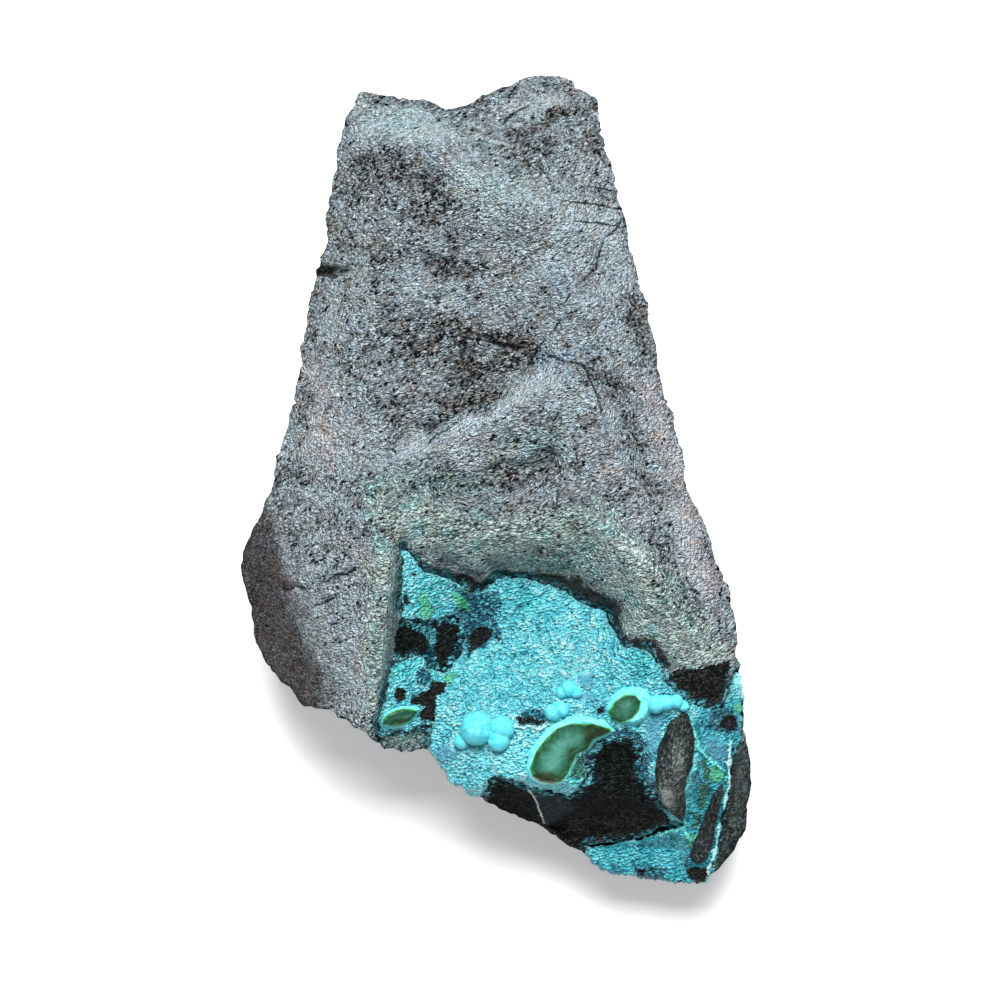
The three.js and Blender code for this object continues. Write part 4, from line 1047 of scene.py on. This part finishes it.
druse_ring = untangled(ring_of(DRUSE, DRUSE_RING_SPACING, wobble=0.4, seed=11, frayed=0.9))
druse_plan, druse_triangles = fill(druse_ring, DRUSE_SPACING, seed=2)
druse_count = len(druse_plan)
druse_edge = -edge_distance(druse_plan, druse_ring[::2].tolist())
base = np.column_stack([druse_plan, face_height(druse_plan)])
shaking = np.column_stack([turbulence(base, 0.9, 3, seed) for seed in (14.0, 15.0)])
shaken = druse_plan + 0.35 * shaking
bare = zone_distance(shaken, DRUSE_DARK)
deep = zone_distance(shaken, DRUSE_DEEP)
glass = zone_distance(shaken, DRUSE_GLASS)
green = zone_distance(shaken, DRUSE_GREEN)
olive = zone_distance(shaken, DRUSE_OLIVE)
pale = zone_distance(shaken, DRUSE_PALE)
pale_line = beside_line(shaken, WHITE_LINES + CYAN_LINES)

swell = turbulence(base, 2.6, 4, 6.0)
near, away, chance = grains(druse_plan + 0.12 * swell[:, None], 0.44, 21)
domes = 0.09 * (0.35 + 0.65 * chance[:, 2]) * np.clip(1 - (near / 0.33) ** 2, -0.6, 1)
domes += 0.18 * ((chance[:, 2] - 0.5) * away[:, 0] + (chance[:, 3] - 0.5) * away[:, 1])
near_small, _, chance_small = grains(druse_plan, 0.22, 23)
domes += 0.07 * chance_small[:, 2] * np.clip(1 - (near_small / 0.17) ** 2, -0.6, 1)
hollows = smooth_step(turbulence(base, 1.1, 4, 17.0), 0.15, 0.6)
sugar = 1 - np.maximum.reduce([
    0.85 * within(glass, -0.3, 0.2),
    0.85 * within(pale, -0.3, 0.1),
    0.6 * within(green, -0.2, 0.1),
    0.8 * within(np.abs(pale_line), 0.1, 0.3),
])
druse_relief = (domes - 0.22 * hollows) * sugar
druse_rise = 0.22 + 0.2 * swell + druse_relief
druse_rise -= 0.4 * within(bare, -0.25, 0.05) + 0.2 * within(deep, -0.4, 0.2)
druse_rise += 0.25 * np.exp(-((pale_line / 0.22) ** 2)) + 0.25 * within(pale, -0.6, 0.1)
druse_rise -= 1.0 * within(druse_edge, 0.0, 0.28)
druse_top = np.column_stack([druse_plan, base[:, 2] + druse_rise])
bed_plan, bed_triangles = fill(druse_ring, DRUSE_BED_SPACING, seed=4)
bed_points = np.column_stack([bed_plan, face_height(bed_plan) - CRUST_THICKNESS])
druse_points = np.vstack([druse_top, bed_points])
druse_faces = np.vstack([
    druse_triangles,
    wall_between(np.arange(len(druse_ring)), druse_count + np.arange(len(druse_ring))),
    (bed_triangles + druse_count)[:, ::-1],
])
top_marks = {
    "relief": druse_relief,
    "bare": bare,
    "deep": deep,
    "glass": glass,
    "green": green,
    "olive": olive,
    "pale": pale,
    "white_line": beside_line(shaken, WHITE_LINES),
    "cyan_line": beside_line(shaken, CYAN_LINES),
    "bluer": zone_distance(shaken, DRUSE_BLUER),
    "frost": spots_at(druse_plan, FROSTS) + 0.5 * swell,
    "edge": druse_edge,
    "sugar": sugar,
    "bright": spots_at(druse_plan, BRIGHT_SPOTS),
}
bed_values = np.ones(len(bed_points))
druse_marks = {mark: np.concatenate([values, bed_values]) for mark, values in top_marks.items()}

CRYSTAL_SIZE, SMALL_CRYSTAL_SIZE = 0.31, 0.15

druse = Finish("chrysocolla druse", Specular_IOR_Level=0.3)
slant = druse.slanted(15, 1.5)
uneven = druse.shaken(slant, 0.6, 0.3)
crumb = druse.cells(CRYSTAL_SIZE, uneven)
chance = druse.cells(CRYSTAL_SIZE, uneven, "Color")
small = druse.cells(SMALL_CRYSTAL_SIZE, uneven)
spot = druse.noise(0.2, 3, 0.65)
forms = druse.noise(0.8, 4, 0.65)
patch = druse.noise(2.4)
frost = druse.mark("frost")
bright = druse.mark("bright")
sweet = druse.mark("sugar")
gap_relief_and_shade = (0.14 + forms * 1.1 - frost * 0.14 - chance).step(0.0, 0.06) * crumb.step(0.6, 0.4)
crease_shade = crumb.step(0.42, 0.7)
# Painted shade in the creases and sunk gaps between crystals, and painted light and shade from the relief
tone = (chance - 0.5) * 0.2 - crease_shade * 0.14 - gap_relief_and_shade * 0.40 + spot * 0.2
tone = (tone + druse.mark("relief") * 0.4 + frost * 0.06) * (0.3 + 0.7 * sweet)
tone = tone + forms * 0.5 + patch * 0.35 + 0.62 + bright * 0.14

sugar_colour = druse.ramp(
    tone, (0.06, (0.004, 0.05, 0.09)), (0.24, (0.02, 0.20, 0.28)), (0.42, (0.07, 0.46, 0.56)),
    (0.60, (0.16, 0.72, 0.82)), (0.84, (0.60, 1.0, 1.0)),
)
sugar_colour = druse.tinted(frost.step(0.1, 1.1) * 0.7, sugar_colour, (1.0, 0.88, 0.86))
sugar_colour = druse.tinted(bright.step(0.2, 1.6), sugar_colour, (0.66, 1.0, 1.10))
sugar_colour = druse.tinted(frost.step(-0.1, -0.8) * 0.7, sugar_colour, (0.72, 1.0, 0.94))
colour = druse.layered(
    sugar_colour, druse.inside("bluer", patch * 2, 0.4) * 0.85,
    tone, (0.1, (0.002, 0.02, 0.04)), (0.30, (0.005, 0.08, 0.135)), (0.46, (0.014, 0.22, 0.31)),
    (0.64, (0.035, 0.50, 0.61)), (0.88, (0.20, 0.90, 0.98)),
)
colour = druse.layered(
    colour, druse.inside("deep", spot * 1.4 + patch, 0.25),
    tone, (0.3, (0.003, 0.018, 0.038)), (0.55, (0.014, 0.10, 0.16)), (0.78, (0.13, 0.52, 0.62)),
)
colour = druse.layered(
    colour, (druse.mark("glass") + spot * 1.6 + patch * 1.5).step(0.25, -0.3) * 0.9,
    tone, (0.3, (0.03, 0.13, 0.20)), (0.62, (0.08, 0.31, 0.42)), (0.85, (0.22, 0.55, 0.66)),
)
colour = druse.layered(
    colour, druse.inside("pale", spot * 0.4, 0.1),
    spot + 0.5, (0.3, (0.15, 0.70, 0.78)), (0.7, (0.33, 0.93, 0.97)),
)
colour = druse.layered(
    colour, druse.inside("green", spot * 0.8, 0.12) * 0.9,
    spot + patch * 0.6 + 0.5, (0.3, (0.02, 0.2, 0.09)), (0.5, (0.06, 0.42, 0.2)), (0.7, (0.2, 0.72, 0.5)),
)
colour = druse.layered(
    colour, druse.inside("olive", spot * 0.5, 0.1) * 0.9,
    spot + forms * 0.8 + 0.5, (0.3, (0.012, 0.035, 0.02)), (0.5, (0.034, 0.145, 0.08)),
    (0.75, (0.10, 0.36, 0.21)),
)
cyan_line = (druse.mark("cyan_line") + spot * 0.35).size()
colour = druse.mix(cyan_line.step(0.26, 0.12), colour, (0.15, 0.70, 0.68))
white_line = (druse.mark("white_line") + spot * 0.35).size()
colour = druse.mix(white_line.step(0.22, 0.12), colour, (0.50, 0.90, 0.90))
rind = (druse.mark("edge") + spot * 0.25).step(0.34, 0.2) * (1 - druse.inside("bluer", 0, 0.2))
colour = druse.mix(rind * 0.55, colour, (0.32, 0.85, 0.88))
colour = druse.layered(
    colour, druse.inside("bare", spot * 0.9, 0.08),
    spot + 0.5, (0.35, (0.006, 0.006, 0.007)), (0.65, (0.026, 0.03, 0.03)),
)
height = (crumb * -1.9 - small * 0.5 - gap_relief_and_shade) * (0.2 + 0.8 * sweet) + forms * 2
druse_finish = druse.surface(colour, 0.4, height, 0.4)
crust = build_piece(
    "chrysocolla_druse_dressed", druse_points, druse_faces, druse_marks, druse_finish,
)
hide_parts("chrysocolla_druse")

# The balls are smooth waxy chrysocolla, grown in one cluster on the lip and three small ones on the druse.
# They are solid and lean into each other where they met.

BALLS = [
    (-2.1, -27.3, 1.9), (0.7, -27.3, 1.4), (0.3, -28.6, 1.25), (-3.8, -28.8, 0.9),
    (8.1, -22.9, 0.95), (8.9, -23.3, 0.7), (7.3, -23.3, 0.7),
    (6.3, -25.5, 0.95), (7.3, -25.2, 0.85), (6.8, -24.8, 0.6),
    (17.7, -24.6, 1.05), (18.9, -24.4, 0.9), (20, -24.3, 0.8), (20.8, -24.8, 0.65),
]
BALL_LIFT = 0.45


def ball_mesh(x, y, radius, turns=56, levels=30):
    """A closed ball standing in the face, a little uneven."""
    level = np.linspace(0, np.pi, levels + 1)[1:-1]
    turn = np.linspace(0, 2 * np.pi, turns, endpoint=False)
    around = [(np.sin(a) * np.cos(b), np.sin(a) * np.sin(b), np.cos(a)) for a in level for b in turn]
    around = np.vstack([around, (0, 0, 1), (0, 0, -1)])
    centre = np.array([x, y, face_height(np.array([[x, y]]))[0] + BALL_LIFT * radius + 0.2])
    uneven = 1 + 0.07 * turbulence(around * radius + centre, 1.3, 4, 8.0)
    points = centre + around * radius * uneven[:, None]
    rounds = [k * turns + np.arange(turns) for k in range(levels - 1)]
    faces = [wall_between(upper, lower) for upper, lower in zip(rounds, rounds[1:])]
    first, last = rounds[0], rounds[-1]
    top, bottom = len(around) - 2, len(around) - 1
    faces.append(np.column_stack([np.full(turns, top), first, np.roll(first, -1)]))
    faces.append(np.column_stack([np.full(turns, bottom), np.roll(last, -1), last]))
    return points, np.vstack(faces)


ball_points, ball_faces, ball_count = [], [], 0
for spot_x, spot_y, radius in BALLS:
    points, faces = ball_mesh(spot_x, spot_y, radius)
    ball_points.append(points)
    ball_faces.append(faces + ball_count)
    ball_count += len(points)

wax = Finish("waxy chrysocolla", Specular_IOR_Level=0.2)
wax_colour = wax.ramp(
    wax.noise(0.7, 4, 0.55) + 0.5, (0.3, (0.07, 0.53, 0.66)), (0.5, (0.11, 0.64, 0.75)),
    (0.7, (0.19, 0.77, 0.84)),
)
wax_finish = wax.surface(wax_colour, 0.6, wax.noise(0.4, 5, 0.7), 0.12)
ball_points, ball_faces = np.vstack(ball_points), np.vstack(ball_faces)
build_piece("chrysocolla_balls", ball_points, ball_faces, {}, wax_finish)

# The nodules are malachite inside a pale blue rind. All three were broken open when the stone was split, so
# each shows a silky green face, darker towards its edge.

# Each nodule's rim, the edge of its green core, soft spots where that is brown or, where the strength is
# negative, greener, and how far it stands proud
NODULES = {
    "malachite_kidney": (
        [
            (13.4, -27.6), (12.2, -26.3), (10.2, -25.8), (8, -25.9), (6.1, -26.7), (4.7, -28.1),
            (3.6, -29.9), (3.2, -31.9), (3.8, -33.2), (4.9, -33.7), (6.2, -33.9), (7.4, -33.6), (8.3, -32.7),
            (8.8, -31.5), (9.2, -30.5), (10.4, -29.8), (11.2, -28.8), (13, -27.9),
        ],
        [
            (12.7, -27.4), (10.7, -26.8), (8.3, -26.8), (6.8, -27.3), (5.6, -28.4), (4.5, -29.8),
            (3.8, -31.7), (4.1, -32.6), (4.9, -33.2), (6.1, -33.5), (7.2, -33.2), (7.9, -32.4),
            (8.4, -31.3), (8.9, -30.2), (10.1, -29.6), (10.8, -28.5), (12.6, -27.7),
        ],
        [(5.4, -32.9, 2.2, 0.9, 1.1), (11.3, -27.9, 2, 1.3, 1.2), (8.2, -30.6, 0.7, 1.8, 0.7)],
        0.9,
    ),
    "malachite_round": (
        [
            (17.6, -24.1), (16.8, -22.9), (15.4, -22.5), (13.9, -22.8), (12.7, -23.8), (12.2, -25.2),
            (12.6, -26.4), (13.8, -27.1), (15.2, -27.2), (16.7, -26.5), (17.5, -25.4),
        ],
        [
            (16, -24.3), (15.4, -23.6), (14.3, -23.6), (13.2, -24.3), (12.5, -25.5), (12.8, -26.3),
            (13.8, -26.6), (15, -26.2), (15.8, -25.3),
        ],
        [(14.3, -25.1, 3, 3, 0.35), (14.3, -25.1, 1.1, 1, -0.7)],
        1.3,
    ),
    "malachite_lens": (
        [
            (-13.1, -26.9), (-12.5, -27.4), (-11.8, -27.5), (-11, -27.5), (-10.2, -27.3), (-9.5, -26.9),
            (-9, -26.4), (-8.5, -25.8), (-8.3, -25.2), (-9.2, -24.9), (-10.3, -24.8), (-11.3, -25),
            (-12.2, -25.4), (-12.8, -26.1),
        ],
        [
            (-12.6, -26.8), (-11.8, -27.1), (-11, -27.1), (-10.3, -26.9), (-9.6, -26.5), (-9.1, -26),
            (-8.8, -25.5), (-9.4, -25.3), (-10.3, -25.2), (-11.2, -25.4), (-12, -25.8), (-12.5, -26.3),
        ],
        [(-10.8, -26.5, 1.2, 0.4, 0.9)],
        1.1,
    ),
}
SET_RING_SPACING, SET_SPACING, SET_UNDER_SPACING = 0.11, 0.09, 0.5


def set_piece(rim, proud, rounding, depth, dish, roughness, wobble, seed):
    """The points and triangles of a body set in the hollow, closed below. It is rounded off over the given
    distance from its rim, and its middle is dished.
    """
    ring = ring_of(rim, SET_RING_SPACING, wobble=wobble, seed=seed)
    plan, triangles = fill(ring, SET_SPACING, seed)
    inward = np.clip(-edge_distance(plan, ring[::2].tolist()) / rounding, 0, 1)
    height = face_height(plan) + proud * (1 - (1 - inward) ** 2) - dish * smooth_step(inward, 0.7, 1.0)
    points = np.column_stack([plan, height])
    points[:, 2] += roughness * turbulence(points, 1.2, 5, seed)
    under_plan, under_triangles = fill(ring, SET_UNDER_SPACING, seed + 1)
    under = np.column_stack([under_plan, face_height(under_plan) - depth])
    lower = len(points) + np.arange(len(ring))
    faces = np.vstack([
        triangles,
        wall_between(np.arange(len(ring)), lower),
        (under_triangles + len(points))[:, ::-1],
    ])
    return np.vstack([points, under]), faces


malachite = Finish("malachite with blue rind", Specular_IOR_Level=0.3)
core = malachite.mark("core")
cloud = malachite.noise(1.0)
threads = malachite.noise(0.2, 4, 0.7)
fan_place = {0: malachite.mark("fan_x"), 1: malachite.mark("fan_y"), 2: malachite.mark("out")}
fibres = malachite.noise(0.3, 4, 0.65, malachite.node("ShaderNodeCombineXYZ", {}, fan_place))
inside = core * -0.5 + cloud * 0.6 + fibres * 0.9 + threads * 0.3
core_colour = malachite.ramp(
    inside,
    (0.0, (0.03, 0.17, 0.07)), (0.05, (0.01, 0.055, 0.022)), (0.2, (0.016, 0.085, 0.045)),
    (0.42, (0.028, 0.14, 0.092)), (0.85, (0.08, 0.28, 0.21)),
)
browned = (malachite.mark("brown") + threads * 0.6 + cloud * 1.4).step(0.2, 0.9)
core_colour = malachite.tinted(browned, core_colour, (0.75, 0.36, 0.22))
rind_colour = malachite.ramp(
    malachite.noise(0.5) + 0.5, (0.3, (0.11, 0.62, 0.66)), (0.5, (0.16, 0.75, 0.80)),
    (0.72, (0.32, 0.92, 0.95)),
)
edge_colour = malachite.mix((core + threads * 0.15).step(0.03, 0.2), (0.10, 0.46, 0.16), rind_colour)
malachite_colour = malachite.mix((core + threads * 0.08).step(-0.04, 0.04), core_colour, edge_colour)
malachite_finish = malachite.surface(malachite_colour, 0.36, threads, 0.03)

for number, (name, (rim, core_line, brown_spots, proud)) in enumerate(NODULES.items()):
    points, faces = set_piece(
        rim, proud, rounding=0.9, depth=2.4, dish=0.12, roughness=0.05, wobble=0.1, seed=31 + number,
    )
    away = points[:, :2] - np.mean(core_line, axis=0)
    away += 0.2 * np.column_stack([turbulence(points, 1.2, 3, seed) for seed in (50.0, 51.0)])
    out = np.linalg.norm(away, axis=1)
    marks = {
        "core": edge_distance(points[:, :2], core_line),
        "brown": spots_at(points[:, :2], brown_spots),
        "fan_x": away[:, 0] / np.maximum(out, 0.05),
        "fan_y": away[:, 1] / np.maximum(out, 0.05),
        "out": 0.2 * out,
    }
    nodule = build_piece(name + "_dressed", points, faces, marks, malachite_finish)
    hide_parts(name)

# The slivers are bits of the hollow's wall that broke off before the minerals grew. They stand on edge in
# the druse, and their broken tops show dark grainy rock.

# Each sliver's rim, how far it stands proud, and soft spots where it is worn pale or, where the strength is
# negative, darker
SLIVERS = {
    "rock_sliver_lens": (
        [
            (20.9, -25.4), (19.2, -26.6), (18, -29.5), (17.7, -31.9), (17.8, -33.9), (18.5, -35.7),
            (19.5, -37), (21, -38.3), (21.3, -36.9), (21.2, -35.2), (21.3, -33), (22, -31.4),
            (22.1, -29.6), (22.1, -28), (21.7, -26.5),
        ],
        1.1,
        [
            (18.9, -35.2, 1, 2, 2.2), (20.2, -30.8, 0.9, 2.6, 1.2), (19, -28.6, 1, 1.6, -0.5),
            (21.6, -32, 0.4, 4, -0.8),
        ],
    ),
    "rock_sliver_dark": (
        [
            (25.6, -33.6), (24.4, -34.9), (23.3, -37.8), (22.1, -40.9), (21.8, -42.3), (22.7, -43),
            (23.8, -42.6), (24.4, -41.2), (24.9, -38), (25.6, -35.2),
        ],
        1.2,
        [(24.4, -37.5, 0.8, 2, -0.4)],
    ),
}
sliver = Finish("broken sliver", Specular_IOR_Level=0.1)
grit = sliver.noise(0.3, 5, 0.72, sliver.slanted(80, 1.8))
speck = sliver.noise(0.16, 3, 0.7)
sliver_tone = 0.5 + grit * 1.1 + speck * 0.8 + sliver.mark("worn") * 0.14
sliver_colour = sliver.ramp(
    sliver_tone, (0.26, (0.003, 0.0035, 0.0035)), (0.45, (0.010, 0.014, 0.014)),
    (0.60, (0.050, 0.063, 0.062)), (0.82, (0.28, 0.31, 0.29)),
)
sliver_finish = sliver.surface(sliver_colour, 0.8, sliver_tone, 0.14)
for number, (name, (rim, proud, worn_spots)) in enumerate(SLIVERS.items()):
    points, faces = set_piece(
        rim, proud, rounding=0.35, depth=3.2, dish=0.0, roughness=0.16, wobble=0.16, seed=41 + number,
    )
    marks = {"worn": spots_at(points[:, :2], worn_spots)}
    piece = build_piece(name + "_dressed", points, faces, marks, sliver_finish)
    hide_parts(name)

# The floor, the light and the camera. The stone lies on a white table under a broad soft light from beyond
# its narrow end, and the camera looks straight down on it.

FLOOR_SIZE = 3.0
CAMERA_PLACE = (0.00044, -0.00193, 0.475)
# The picture is as wide as this at the level of the grey face
WIDTH_SEEN, FACE_LEVEL = 0.110, 0.025
SENSOR = 36.0

bpy.ops.mesh.primitive_plane_add(size=FLOOR_SIZE)
table = bpy.context.object
table.name = "table"
paper = Finish("white table", Emission_Color=(1, 1, 1, 1), Emission_Strength=0.3)
table.data.materials.append(paper.surface((0.92, 0.92, 0.92, 1), 0.6, paper.noise(0.6), 0.01))

world = bpy.data.worlds.new("studio")
bpy.context.scene.world = world
world.use_nodes = True
background = world.node_tree.nodes["Background"]
background.inputs["Color"].default_value = (0.93, 0.97, 1.0, 1)
background.inputs["Strength"].default_value = 0.3


def soft_light(name, place, aim, size, power):
    data = bpy.data.lights.new(name, "AREA")
    data.size = size
    data.energy = power
    lamp = bpy.data.objects.new(name, data)
    lamp.location = place
    lamp.rotation_euler = (Vector(aim) - Vector(place)).to_track_quat("-Z", "Y").to_euler()
    bpy.context.collection.objects.link(lamp)


soft_light("window", (0.0, 0.54, 0.92), aim=(0, 0, 0.01), size=0.5, power=20.0)

camera_data = bpy.data.cameras.new("camera")
camera_data.sensor_width = SENSOR
camera_data.lens = SENSOR * (CAMERA_PLACE[2] - FACE_LEVEL) / WIDTH_SEEN
camera = bpy.data.objects.new("camera", camera_data)
camera.location = CAMERA_PLACE
bpy.context.collection.objects.link(camera)
bpy.context.scene.camera = camera
bpy.context.scene.view_settings.view_transform = "Standard"
